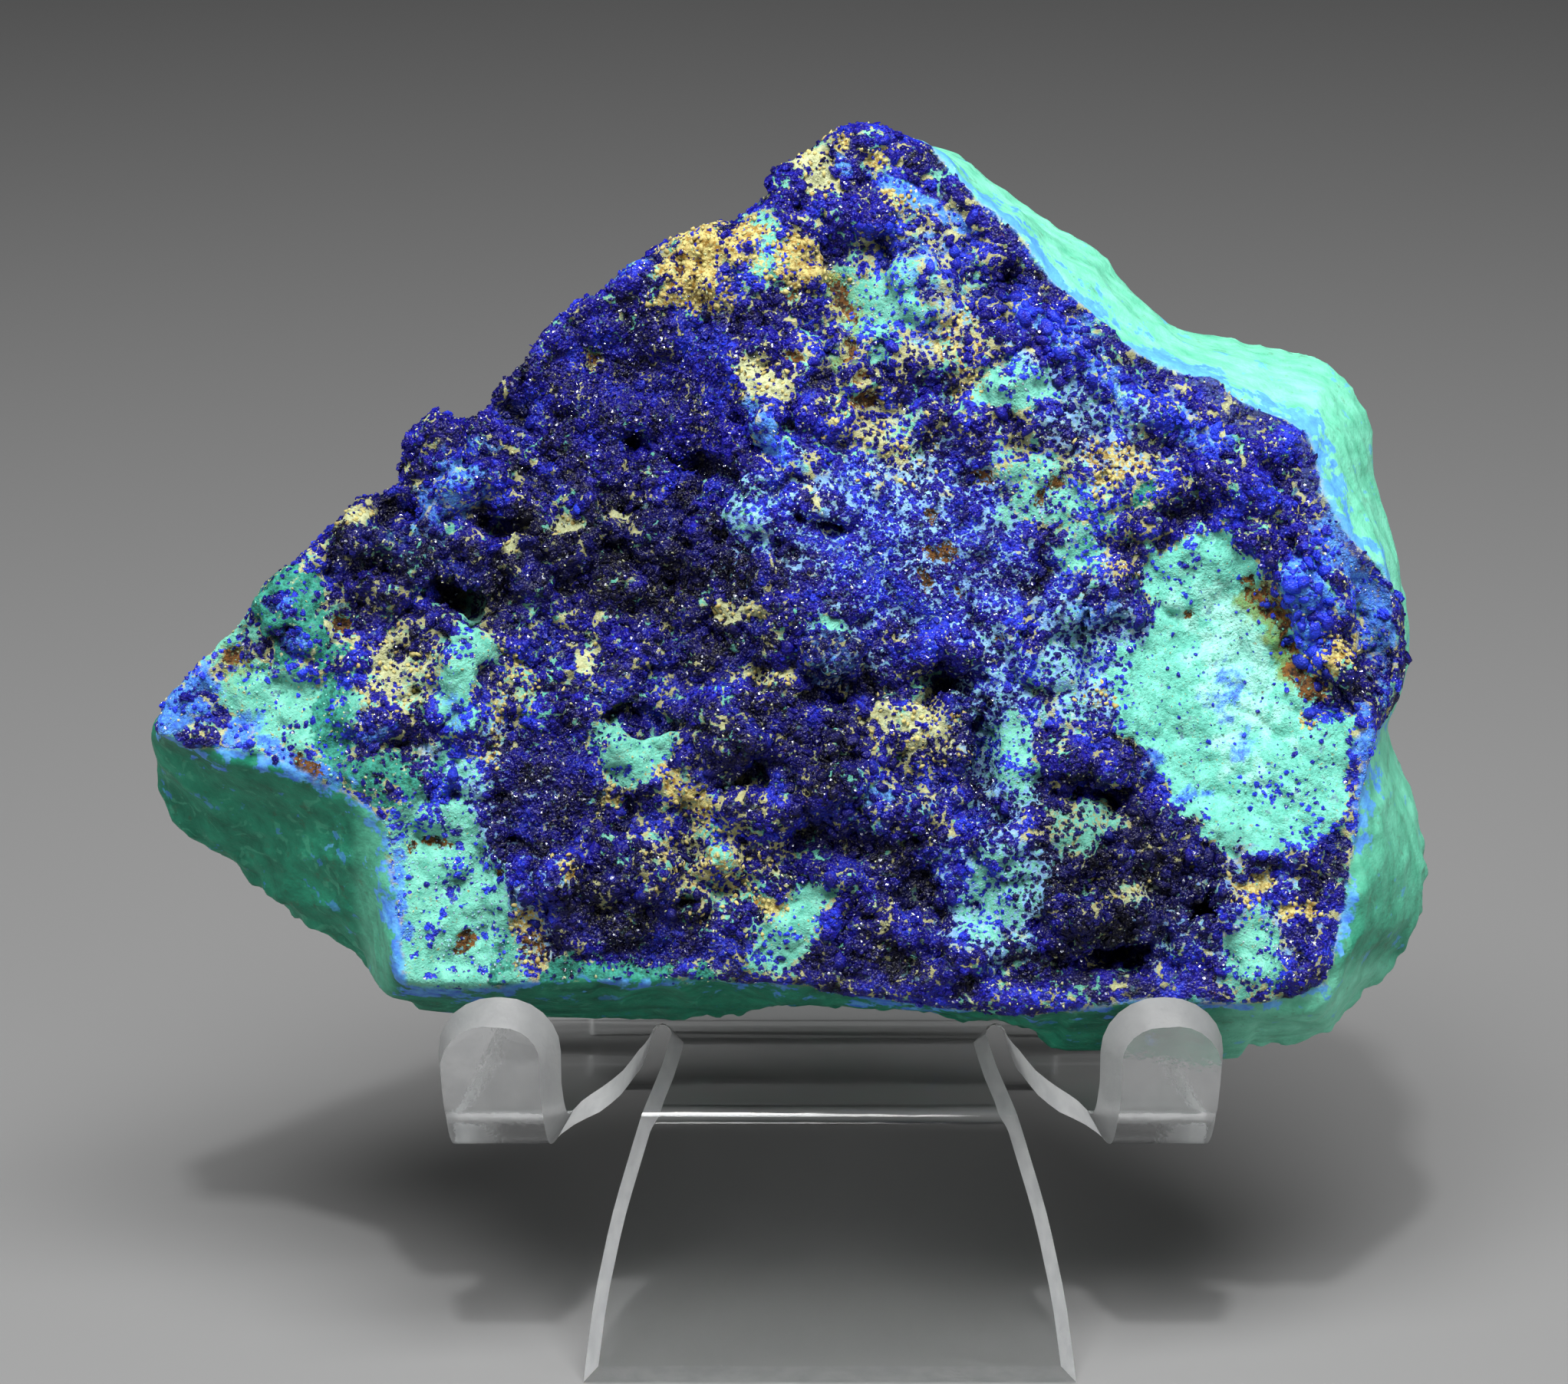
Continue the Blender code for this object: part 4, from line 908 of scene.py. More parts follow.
def glints(tree, spot, chance):
    """1 on a few tiny facets that throw the light straight back, 0 elsewhere."""
    facet = node(tree, "ShaderNodeSeparateColor", {0: cells_of(tree, spot, 0.17).outputs["Color"]})
    # fewer glints in the zones of painted shade
    lit = minus(tree, 1.0, times(tree, stored(tree, "shade"), 0.6))
    return times(tree, spread(tree, facet.outputs[0], 1 - chance, 1.001 - chance), lit)


# %% [markdown]
# ## The smooth sides' colour
# Malachite grows in layers, so its broken side is banded. The bands here are noise stretched
# six times along the face, which is simpler than drawing each layer. Lighter veins cross them.
# Brown matrix shows behind and along the weathered rim, and an azure rind lies by the crust.
# Light and shade are painted on too: a lit green and a shaded green, mixed towards the upper
# right.

# %% The sides
def smooth_side(tree, spot, chance, other):
    """Banded green malachite, painted paler where the light falls and darker away from it, azure
    beside the blue face.
    """
    turned = node(tree, "ShaderNodeMapping", {"Vector": spot, "Rotation": (LEAN, 0.0, 0.0),
                                              "Scale": (0.16, 1.0, 0.16)}).outputs[0]
    layers = noise_of(tree, turned, 1.2, detail=4.0, rough=0.6, twist=0.3)
    mottle = noise_of(tree, spot, 2.2, detail=4.0, rough=0.65)
    bands = plus(tree, times(tree, layers, 0.45), times(tree, mottle, 0.55))
    bands = spread(tree, bands, 0.36, 0.64)
    # painted light and shade: a lit copy and a shaded copy of the banded green
    pale = mixed(tree, bands, SIDE_COLOUR[1], SIDE_COLOUR[0])
    dark = mixed(tree, bands, SIDE_COLOUR[3], SIDE_COLOUR[2])
    vein = spread(tree, noise_of(tree, spot, 1.6, detail=3.0, twist=1.5), 0.60, 0.66, 0.0, 0.3)
    dark = mixed(tree, vein, dark, SIDE_COLOUR[1])
    colour = mixed(tree, stored(tree, "painted_lit_side"), dark, pale)
    broad = noise_of(tree, spot, 5.0, detail=3.0)
    back = mixed(tree, spread(tree, broad, 0.42, 0.6), BACK_COLOUR[0], BACK_COLOUR[1])
    back = mixed(tree, speckled(tree, spread(tree, broad, 0.3, 0.75), other), back, BACK_COLOUR[2])
    colour = mixed(tree, stored(tree, "back"), colour, back)
    weathered = speckled(tree, stored(tree, "weathered"), other, 0.3)
    colour = mixed(tree, times(tree, weathered, 0.75), colour, BACK_COLOUR[2])
    torn = spread(tree, noise_of(tree, spot, 1.7, detail=3.0, rough=0.65), 0.34, 0.62)
    rind = speckled(tree, stored(tree, "rind"), torn, 0.1)
    # the rind is painted paler on the lit side
    lit = times(tree, stored(tree, "painted_lit_side"), 0.5)
    tone = times(tree, other, minus(tree, 1.0, lit))
    return mixed(tree, rind, colour, mixed(tree, tone, RIND_COLOUR, AZURE_COLOUR[1]))


# %% [markdown]
# ## The skin's material
# The stack is laid down in order, the way paint would be. Shade is painted on as well: the colour
# turns darker in the hollows, standing in for light lost between grains, and dimmer in the shaded
# zones. A few facets too small to model are glints: cells picked by chance that turn to bare
# mirror. The bump is rough on the crust and calm on the broken sides.

# %% The minerals under the azurite
def pale_malachite(tree, spot, chance, other):
    """Minty malachite, and on the large bare patch a chalky one with small pits."""
    worn = spread(tree, noise_of(tree, spot, 1.5, detail=3.0, rough=0.7), 0.38, 0.62)
    uneven = times(tree, plus(tree, chance, worn), 0.5)
    chalk = speckled(tree, stored(tree, "chalk"), other, 0.35)
    chalky = mixed(tree, chalk, mixed(tree, uneven, *PALE_COLOUR),
                   mixed(tree, uneven, *CHALK_COLOUR))
    pits = spread(tree, noise_of(tree, spot, 0.55, detail=2.0, rough=0.7), 0.56, 0.64, 0.0, 0.6)
    chalky = mixed(tree, pits, chalky, MINT_COLOUR[1])
    return mixed(tree, stored(tree, "pale"), mixed(tree, other, *MINT_COLOUR), chalky)


def ground_colour(tree, spot, chance, other, blotch):
    """Sand with mint and cool spots, then each mineral in its own patches."""
    colour = mixed(tree, other, SAND, mixed(tree, chance, *CREAM_COLOUR))
    minty = spread(tree, noise_of(tree, spot, 2.4, detail=3.0, rough=0.6), 0.44, 0.6, 0.0, 0.75)
    colour = mixed(tree, speckled(tree, minty, other, 0.2), colour,
                   mixed(tree, chance, *MINT_COLOUR))
    cool = speckled(tree, stored(tree, "cool"), other, 0.2)
    colour = mixed(tree, cool, colour, mixed(tree, other, *COOL_COLOUR))
    for name, tones, where in (("cream", mixed(tree, chance, *CREAM_COLOUR), other),
                               ("turquoise", pale_malachite(tree, spot, chance, other), chance),
                               ("ochre", mixed(tree, blotch, *OCHRE_COLOUR), chance),
                               ("green", mixed(tree, chance, *GREEN_COLOUR), other)):
        shows = speckled(tree, stored(tree, name), where, 0.12)
        colour = mixed(tree, shows, colour, tones)
    return colour


# %% The crust's whole stack of colours
def crust_colour(tree, spot, chance, other, blue):
    """Ground, azurite, dusky rim, azure smears, olive stains and rust, in this order."""
    blotch = spread(tree, noise_of(tree, spot, 0.5, detail=3.0, rough=0.7), 0.4, 0.6)
    colour = ground_colour(tree, spot, chance, other, blotch)
    colour = mixed(tree, blue, colour, azurite_colour(tree, spot, other))
    dusky = speckled(tree, stored(tree, "dusky"), other, 0.2)
    colour = mixed(tree, dusky, colour, mixed(tree, chance, *DUSKY_COLOUR))
    azure = speckled(tree, stored(tree, "azure"), other, 0.2)
    colour = mixed(tree, azure, colour, mixed(tree, chance, *AZURE_COLOUR))
    stain = speckled(tree, stored(tree, "stain"), other, 0.3)
    colour = mixed(tree, times(tree, stain, 0.85), colour, mixed(tree, chance, *STAIN_COLOUR))
    rust = speckled(tree, times(tree, stored(tree, "rust"), 0.8), chance, 0.1)
    return mixed(tree, rust, colour, mixed(tree, blotch, *RUST_COLOUR))


# %% The skin's material
DUSTY, GLASSY, WORN_SMOOTH = [(rough, rough, rough, 1) for rough in (0.8, 0.34, 0.46)]


def skin_material():
    material, tree, shader = new_material("azurite and malachite crust")
    spot = place(tree)
    chance = spread(tree, noise_of(tree, spot, 0.34, detail=3.0, rough=0.62), 0.30, 0.70)
    other = spread(tree, noise_of(tree, spot, 0.9, detail=4.0, rough=0.65), 0.28, 0.72)
    ball = cells_of(tree, spot, 0.55).outputs["Distance"]
    grain = spread(tree, plus(tree, ball, times(tree, chance, 0.5)), 0.3, 1.1)
    blue = speckled(tree, stored(tree, "cover"), grain)
    colour = crust_colour(tree, spot, chance, other, blue)
    side = stored(tree, "side")
    colour = mixed(tree, side, colour, smooth_side(tree, spot, chance, other))
    glint = times(tree, glints(tree, spot, 0.012), blue)
    glint = times(tree, glint, minus(tree, 1.0, side))
    # painted shade on the colour: weaker where the ground shows, full on the blue grains
    shown = mixed(tree, blue, with_painted_shade(tree, colour, 0.9, 0.4), with_painted_shade(tree, colour))
    colour = mixed(tree, glint, shown, GLINT)
    tree.links.new(colour, shader.inputs["Base Color"])
    tree.links.new(glint, shader.inputs["Metallic"])

    rough = mixed(tree, side, mixed(tree, blue, DUSTY, GLASSY), WORN_SMOOTH)
    tree.links.new(rough, shader.inputs["Roughness"])
    shader.inputs["Specular IOR Level"].default_value = 0.28

    facets = cells_of(tree, spot, 0.24).outputs["Distance"]
    wool = noise_of(tree, spot, 0.3, detail=2.0, rough=0.7)
    crumbs = plus(tree, wool, times(tree, facets, times(tree, blue, -0.9)))
    loose = minus(tree, 1.0, times(tree, side, 0.8))
    flaked = noise_of(tree, spot, 1.3, detail=3.0, rough=0.6)
    relief = times(tree, crumbs, loose)
    relief = plus(tree, relief, times(tree, flaked, side))
    tree.links.new(bumped(tree, relief, 0.16), shader.inputs["Normal"])
    return material


# %% [markdown]
# ## Which sides are painted lit, brown or azure
# The broken sides aren't one green. They are painted paler at the upper right, as light that
# falls there, and darker elsewhere, partly a darker green of their own and partly painted shade.
# They are browner behind. An azure rind follows the edge of the crust, and the lower rim is
# weathered.

# %% Shares that only the sides use
u, v, depth = on_the_face(points_of(skin))
# painted light: the sides are lit towards the upper right, with two smaller lit spots
painted_lit_side = ease(u * 0.55 + v * 0.85, 44.0, 64.0)
painted_lit_side = np.maximum(painted_lit_side, 0.4 * patch(u, v, 0.0, (-33.2, 34.0, 1.6, 8.0, 0, 1.0)))
painted_lit_side = np.maximum(painted_lit_side, 0.85 * patch(u, v, 0.0, (36.0, 25.5, 8.0, 4.0, 15, 1.0)))
into_the_stone = np.array((0, math.cos(LEAN), -math.sin(LEAN)))
turned_back = normals_of(skin) @ into_the_stone
store(skin, "painted_lit_side", painted_lit_side)
store(skin, "back", ease(turned_back, 0.45, 0.75) * ease(depth, 8.0, 10.0))
low_left = ease(-u, 22.0, 26.0) * ease(-v, -47.0, -44.0)
rind_width = 1.2 + 1.5 * ease(u * 0.5 + v * 0.5, 34.0, 44.0) + 0.9 * low_left
rind = ease(share["edge"], -rind_width, 0.0) * ease(-depth, -7.0, -3.0)
rind_strength = np.clip(0.6 + 0.3 * ease(u * 0.5 + v * 0.5, 34.0, 44.0) + 0.2 * low_left, 0, 1)
store(skin, "rind", rind * rind_strength)
lower_rim = ease(turned_back, -0.2, 0.1) * ease(-v, -52.0, -38.0) * ease(depth, 5.0, 7.0)
store(skin, "weathered", lower_rim * 0.75)
print("share of the skin that faces back:", round(float((turned_back > 0.6).mean()), 2))

# %% The stone, dressed
stone = in_scene("stone_skin", skin)
skin.materials.clear()
skin.materials.append(skin_material())
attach(stone, "root")
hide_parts("azurite_malachite_stone")
print("stone skin is in place")

# %% [markdown]
# ## The little grains
# Azurite grows here as thousands of grains a third of a millimetre across, in clumps. Modelling
# each by hand is out of the question, so a Geometry Nodes tree scatters a few shapes over the
# skin: it places points no closer than a spacing, thins them by the share stored on the skin, then
# turns, stretches and tints each one, because even grains look like beads. The result is made
# into plain mesh at the end.

# %% Lumpy domes for grains, knobs and crumbs
MOST_SHAPES = 9


def closed_shape(shape, name, rounded=False):
    """An object from a closed shape, in triangles that face outwards."""
    bmesh.ops.triangulate(shape, faces=shape.faces[:])
    bmesh.ops.recalc_face_normals(shape, faces=shape.faces[:])
    mesh = bpy.data.meshes.new(name)
    shape.to_mesh(mesh)
    shape.free()
    mesh.polygons.foreach_set("use_smooth", np.full(len(mesh.polygons), rounded))
    return bpy.data.objects.new(name, mesh)


def grain_shape(name, seed, segments, rings, lumpy, squat, rounded=False):
    """A closed little dome of radius 1 with its foot just below the surface."""
    shape = bmesh.new()
    chance = np.random.default_rng(seed)
    loops = []
    for ring in range(rings):
        angle = math.radians(-25 + 95 * ring / rings)
        loop = []
        for step in range(segments):
            turn = math.tau * (step + 0.5 * (ring % 2)) / segments
            reach = 1 + lumpy * (chance.random() - 0.5)
            loop.append(shape.verts.new((math.cos(angle) * math.cos(turn) * reach,
                                         math.cos(angle) * math.sin(turn) * reach,
                                         math.sin(angle) * reach * squat)))
        loops.append(loop)
    tip = shape.verts.new((0, 0, squat * (1 + lumpy * (chance.random() - 0.5))))
    for low, high in zip(loops, loops[1:]):
        for step in range(segments):
            after = (step + 1) % segments
            shape.faces.new((low[step], low[after], high[after], high[step]))
    for step in range(segments):
        shape.faces.new((loops[-1][step], loops[-1][(step + 1) % segments], tip))
    shape.faces.new(loops[0][::-1])
    return closed_shape(shape, name, rounded)


def shape_set(name, shapes):
    group = bpy.data.collections.new(name)
    for shape in shapes:
        group.objects.link(shape)
    print(f"{name}: {len(shapes)} shapes, the first with {len(shapes[0].data.polygons)} faces")
    return group


grains = shape_set("grains", [grain_shape(f"grain {k}", k, 5, 2, 0.6, 0.85)
                              for k in range(MOST_SHAPES)])
round_knobs = shape_set("round knobs", [grain_shape(f"knob {k}", 40 + k, 8, 4, 0.5, 0.75, True)
                                        for k in range(7)])
crumbs = shape_set("crumbs", [grain_shape(f"crumb {k}", 20 + k, 5, 2, 0.7, 0.7, True)
                              for k in range(4)])


# %% Rosettes of stubby crystals
def rosette_shape(name, seed, crystals):
    """Stubby wedge-ended crystals spreading from one foot, radius about 1."""
    shape = bmesh.new()
    chance = np.random.default_rng(seed)
    for k in range(crystals):
        lean = math.radians(8 if k == 0 else 48 + 24 * chance.random())
        swing = math.tau * (k + 0.5 * chance.random()) / (crystals - 1)
        way = np.array((math.sin(lean) * math.cos(swing), math.sin(lean) * math.sin(swing),
                        math.cos(lean)))
        across = np.cross(way, (chance.random() - 0.5, 1.0, chance.random()))
        across /= np.linalg.norm(across)
        beside = np.cross(way, across)
        width = 0.30 + 0.14 * chance.random()
        length = 0.82 + 0.26 * chance.random()
        foot = [shape.verts.new(across * a * width + beside * b * width * 0.8 - way * 0.15)
                for a, b in ((1, 1), (-1, 1), (-1, -1), (1, -1))]
        shoulder = [shape.verts.new(way * length * 0.68 + across * a * width
                                    + beside * b * width * 0.8)
                    for a, b in ((1, 1), (-1, 1), (-1, -1), (1, -1))]
        tip = shape.verts.new(way * length + across * width * (chance.random() - 0.5))
        shape.faces.new(foot[::-1])
        for step in range(4):
            after = (step + 1) % 4
            shape.faces.new((foot[step], foot[after], shoulder[after], shoulder[step]))
            shape.faces.new((shoulder[step], shoulder[after], tip))
    return closed_shape(shape, name)


rosettes = shape_set("rosettes", [rosette_shape(f"rosette {k}", 10 + k, 7) for k in range(5)])


# %% Flat blades
def blade_shape(name, length, width, thickness):
    """A flat crystal with a wedge end, standing on the surface."""
    outline = [(-width, -0.3), (width, -0.3), (width, length * 0.7), (width * 0.3, length),
               (-width * 0.6, length * 0.92), (-width, length * 0.6)]
    shape = bmesh.new()
    front, rear = [[shape.verts.new((x, side * thickness * (1.0 if z < length * 0.7 else 0.4), z))
                    for x, z in outline] for side in (-1, 1)]
    shape.faces.new(front)
    shape.faces.new(rear[::-1])
    for step in range(len(outline)):
        after = (step + 1) % len(outline)
        shape.faces.new((front[after], front[step], rear[step], rear[after]))
    return closed_shape(shape, name)


blades = shape_set("blades", [blade_shape("long blade", 1.5, 0.45, 0.14),
                              blade_shape("short blade", 1.0, 0.6, 0.2)])

# %% [markdown]
# ## The scattering tree
# One tree serves all nine kinds of grain. Its named inputs say where they grow, how far apart,
# how large, how tilted, which shapes and which finish. The seed is fixed, so each run is the
# same. The tone is drawn once for each grain, and its material reads it to vary the colour.

# %% The tree's inputs, and chance
RANDOM_SOCKETS = {"FLOAT_VECTOR": (0, 1, 0), "FLOAT": (2, 3, 1), "INT": (4, 5, 2)}


def named_inputs(tree):
    """The inputs that each kind of grain sets, as sockets, and one output for the grains."""
    face = tree.interface
    face.new_socket("Surface", in_out="INPUT", socket_type="NodeSocketGeometry")
    for name, kind in (("Where", "String"), ("Spacing", "Float"), ("Smallest", "Float"),
                       ("Largest", "Float"), ("Tilt", "Float"), ("Seed", "Int"),
                       ("Shapes", "Collection"), ("Finish", "Material")):
        face.new_socket(name, in_out="INPUT", socket_type="NodeSocket" + kind)
    face.new_socket("Grains", in_out="OUTPUT", socket_type="NodeSocketGeometry")
    return tree.nodes.new("NodeGroupInput").outputs


def drawn(tree, kind, low, high, seed):
    """A value drawn by chance, once for each grain."""
    lowest, highest, out = RANDOM_SOCKETS[kind]
    inputs = {lowest: low, highest: high, "Seed": seed}
    return node(tree, "FunctionNodeRandomValue", inputs, data_type=kind).outputs[out]


# %% Spots on the skin, and a shape on each
def spots_on_skin(tree, given):
    """Points no closer than the spacing, thinned by the stored share."""
    share = node(tree, "GeometryNodeInputNamedAttribute", {"Name": given["Where"]},
                 data_type="FLOAT")
    densest = maths(tree, "DIVIDE", 2.0, times(tree, given["Spacing"], given["Spacing"]))
    return node(tree, "GeometryNodeDistributePointsOnFaces",
                {"Mesh": given["Surface"], "Distance Min": given["Spacing"],
                 "Density Max": densest, "Density Factor": share.outputs[0],
                 "Seed": given["Seed"]}, distribute_method="POISSON").outputs


def shapes_on_spots(tree, given, spots):
    """One shape on each spot, stretched, tilted and turned by chance."""
    seed, tilt = given["Seed"], given["Tilt"]
    size = drawn(tree, "FLOAT", given["Smallest"], given["Largest"], seed)
    pick = drawn(tree, "INT", 0, MOST_SHAPES, seed)
    uneven = drawn(tree, "FLOAT_VECTOR", (0.75, 0.7, 0.7), (1.5, 1.0, 1.1), seed)
    stretch = node(tree, "ShaderNodeVectorMath", {0: uneven, "Scale": size}, operation="SCALE")
    shapes = node(tree, "GeometryNodeCollectionInfo",
                  {"Collection": given["Shapes"], "Separate Children": True,
                   "Reset Children": True})
    against = times(tree, tilt, -1.0)
    low = node(tree, "ShaderNodeCombineXYZ", {0: against, 1: against, 2: 0.0})
    high = node(tree, "ShaderNodeCombineXYZ", {0: tilt, 1: tilt, 2: math.tau})
    turn = drawn(tree, "FLOAT_VECTOR", low.outputs[0], high.outputs[0], seed)
    stood = node(tree, "GeometryNodeInstanceOnPoints",
                 {"Points": spots["Points"], "Instance": shapes.outputs[0],
                  "Pick Instance": True, "Instance Index": pick,
                  "Rotation": spots["Rotation"], "Scale": stretch.outputs[0]})
    return node(tree, "GeometryNodeRotateInstances",
                {"Instances": stood.outputs[0], "Rotation": turn, "Local Space": True}).outputs[0]


# %% The tree
TONE_SEED = 7


def scatter_tree():
    tree = bpy.data.node_groups.new("scatter on the skin", "GeometryNodeTree")
    given = named_inputs(tree)
    turned = shapes_on_spots(tree, given, spots_on_skin(tree, given))
    tinted = node(tree, "GeometryNodeStoreNamedAttribute",
                  {"Geometry": turned, "Name": "tone",
                   "Value": drawn(tree, "FLOAT", 0.0, 1.0, TONE_SEED)},
                  data_type="FLOAT", domain="INSTANCE")
    real = node(tree, "GeometryNodeRealizeInstances", {"Geometry": tinted.outputs[0]})
    finished = node(tree, "GeometryNodeSetMaterial",
                    {"Geometry": real.outputs[0], "Material": given["Finish"]})
    result = tree.nodes.new("NodeGroupOutput")
    tree.links.new(finished.outputs[0], result.inputs[0])
    return tree


scatter = scatter_tree()
print("nodes that scatter:", len(scatter.nodes))


# %% Scatter one kind of grain
def scattered(name, finish, **sizes):
    """One piece of many grains on the skin, as plain mesh, riding with the stone."""
    holder = in_scene(name + "_work", skin)
    modifier = holder.modifiers.new("scatter", "NODES")
    modifier.node_group = scatter
    sizes["Finish"] = finish
    for socket in scatter.interface.items_tree:
        if socket.in_out == "INPUT" and socket.name in sizes:
            modifier[socket.identifier] = sizes[socket.name]
    graph = bpy.context.evaluated_depsgraph_get()
    mesh = bpy.data.meshes.new_from_object(holder.evaluated_get(graph))
    bpy.data.objects.remove(holder, do_unlink=True)
    mesh.name = name
    piece = in_scene(name, mesh)
    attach(piece, "root")
    print(f"{name}: {len(mesh.polygons)} triangles")
    return piece


# %% [markdown]
# ## Finishes of the grains
# Azurite is glassy, so each grain is smooth and dark with a sharp highlight. Tiny facets in the
# bump break the highlight into sparkles. Ochre crumbs and malachite buds are matt and dusty.

# %% Materials of the grains
def azurite_grain(name, roughness, lift, sparkle):
    material, tree, shader = new_material(name)
    spot = place(tree)
    tone = plus(tree, times(tree, stored(tree, "tone"), 0.8), lift)
    glint = glints(tree, spot, sparkle)
    # painted shade from the hollows and shaded zones of the skin below
    colour = with_painted_shade(tree, azurite_colour(tree, spot, tone))
    tree.links.new(mixed(tree, glint, colour, GLINT), shader.inputs["Base Color"])
    tree.links.new(glint, shader.inputs["Metallic"])
    shader.inputs["Roughness"].default_value = roughness
    shader.inputs["Specular IOR Level"].default_value = 0.26
    facets = cells_of(tree, spot, 0.16).outputs["Distance"]
    tree.links.new(bumped(tree, facets, 0.07), shader.inputs["Normal"])
    return material


def matt_finish(name, colour_of, roughness, shaded):
    """A dusty finish. colour_of gives its colour at a spot, before painted shade from the hollows
    dims it.
    """
    material, tree, shader = new_material(name)
    spot = place(tree)
    # painted shade from the hollows and shaded zones, weaker than on the azurite
    colour = with_painted_shade(tree, colour_of(tree, spot), 0.7, shaded)
    tree.links.new(colour, shader.inputs["Base Color"])
    shader.inputs["Roughness"].default_value = roughness
    dust = noise_of(tree, spot, 0.12, detail=3.0)
    tree.links.new(bumped(tree, dust, 0.05), shader.inputs["Normal"])
    return material


def dusty_grain(name, pair):
    def colour_of(tree, spot):
        change = spread(tree, noise_of(tree, spot, 0.5, detail=3.0), 0.3, 0.7)
        return mixed(tree, times(tree, change, stored(tree, "tone")), *pair)
    return matt_finish(name, colour_of, 0.85, 0.4)


def fleck_colour(tree, spot):
    """Cream on the ochre side, light azure where the crust is cool."""
    warm = mixed(tree, stored(tree, "tone"), *CREAM_COLOUR)
    chilly = mixed(tree, stored(tree, "tone"), *COOL_COLOUR)
    return mixed(tree, stored(tree, "cool"), warm, chilly)


glassy_blue = azurite_grain("glassy azurite grains", 0.34, 0.0, 0.006)
sparkling_blue = azurite_grain("sparkling azurite blades", 0.16, -0.1, 0.13)
waxy_blue = azurite_grain("waxy azurite knobs", 0.42, 0.14, 0.0)
pale_dust = matt_finish("pale flecks", fleck_colour, 0.8, 0.3)
print("finishes:", [f.name for f in (glassy_blue, sparkling_blue, waxy_blue, pale_dust)])

# %% [markdown]
# ## Growing the grains
# Each call grows one kind from its share, with its spacing and sizes. Two sizes of grain make
# the crust and a finer one its velvet. Rosettes and round knobs sit on top, blades sparkle in the
# dark parts, and crumbs, buds and flecks belong to the paler minerals.

# %% Scatter the grains
scattered("azurite_grains", glassy_blue, Where="grains", Spacing=0.46 * MM,
          Smallest=0.14 * MM, Largest=0.28 * MM, Tilt=0.5, Seed=3, Shapes=grains)
scattered("azurite_small_grains", glassy_blue, Where="small_grains", Spacing=0.37 * MM,
          Smallest=0.10 * MM, Largest=0.19 * MM, Tilt=0.6, Seed=13, Shapes=grains)
scattered("pale_flecks", pale_dust, Where="flecks", Spacing=0.40 * MM,
          Smallest=0.05 * MM, Largest=0.13 * MM, Tilt=0.8, Seed=15, Shapes=crumbs)
scattered("azurite_fine_grains", glassy_blue, Where="fine_grains", Spacing=0.25 * MM,
          Smallest=0.07 * MM, Largest=0.14 * MM, Tilt=0.8, Seed=4, Shapes=grains)
scattered("azurite_rosettes", glassy_blue, Where="rosettes", Spacing=0.95 * MM,
          Smallest=0.32 * MM, Largest=0.56 * MM, Tilt=0.5, Seed=5, Shapes=rosettes)
scattered("azurite_knobs", waxy_blue, Where="knobs", Spacing=0.85 * MM,
          Smallest=0.24 * MM, Largest=0.56 * MM, Tilt=0.4, Seed=6, Shapes=round_knobs)
scattered("azurite_blades", sparkling_blue, Where="blades", Spacing=0.40 * MM,
          Smallest=0.14 * MM, Largest=0.27 * MM, Tilt=1.0, Seed=7, Shapes=blades)
scattered("ochre_crumbs", dusty_grain("ochre crumbs", OCHRE_COLOUR), Where="bits",
          Spacing=0.36 * MM, Smallest=0.10 * MM, Largest=0.24 * MM, Tilt=0.6, Seed=9,
          Shapes=crumbs)
scattered("malachite_buds", dusty_grain("malachite buds", MINT_COLOUR), Where="buds",
          Spacing=0.6 * MM, Smallest=0.05 * MM, Largest=0.13 * MM, Tilt=0.6, Seed=11,
          Shapes=crumbs)

# %% [markdown]
# ## The clear stand
# The stand is one sheet of clear acrylic, cut with slanted edges and bent while hot. Its broad
# faces are clear, with a little haze where the bends were heated. Its cut edges are sawn and
# then flame-softened, so they look frosted white, and the small lips are hazy all over. A copy
# of the solid gets a fine bevel along its cut edges, and shading that keeps flats flat.

# %% Where each finish of the sheet goes
EDGE_BEVEL = 0.22
BEND_STEP = math.radians(30)   # neighbouring faces of a bend turn by less than this
FACES_ASIDE = 0.03             # a cut side's normal leans at least this much to the side
GROUND = 0.05                  # only the feet's undersides are lower than this
LIP_FOOT = 15.5                # the height where the lips start
LIP_DEPTH = 4.0                # how far behind their front they end
LIP_TOP_HEIGHT = 28.0          # above this their broad faces are frosted too
LIP_INNER_SIDE = 16.0          # how far from the stand's middle a lip starts


def stand_finish(holder):
    bevel = holder.modifiers.new("worn edges", "BEVEL")
    bevel.width = EDGE_BEVEL * MM
    bevel.segments = 2
    bevel.limit_method = "ANGLE"
    bevel.angle_limit = math.radians(40)
    weigh = holder.modifiers.new("flat flats", "WEIGHTED_NORMAL")
    weigh.keep_sharp = True


CLEAR, LIP_TOP, CUT_SIDE, FOOT, HAZY = range(5)


def finish_of(face):
    """Which finish a face of the sheet has."""
    centre = face.calc_center_median() / MM
    outer = abs(centre.x - middle_x) > LIP_INNER_SIDE
    at_lip = outer and centre.z > LIP_FOOT and centre.y < lip_y + LIP_DEPTH
    cut = abs(face.normal.x) > FACES_ASIDE
    if at_lip:
        return LIP_TOP if cut or centre.z > LIP_TOP_HEIGHT else HAZY
    if cut:
        return CUT_SIDE
    return FOOT if centre.z < GROUND else CLEAR


print("finishes of the sheet:", HAZY + 1)

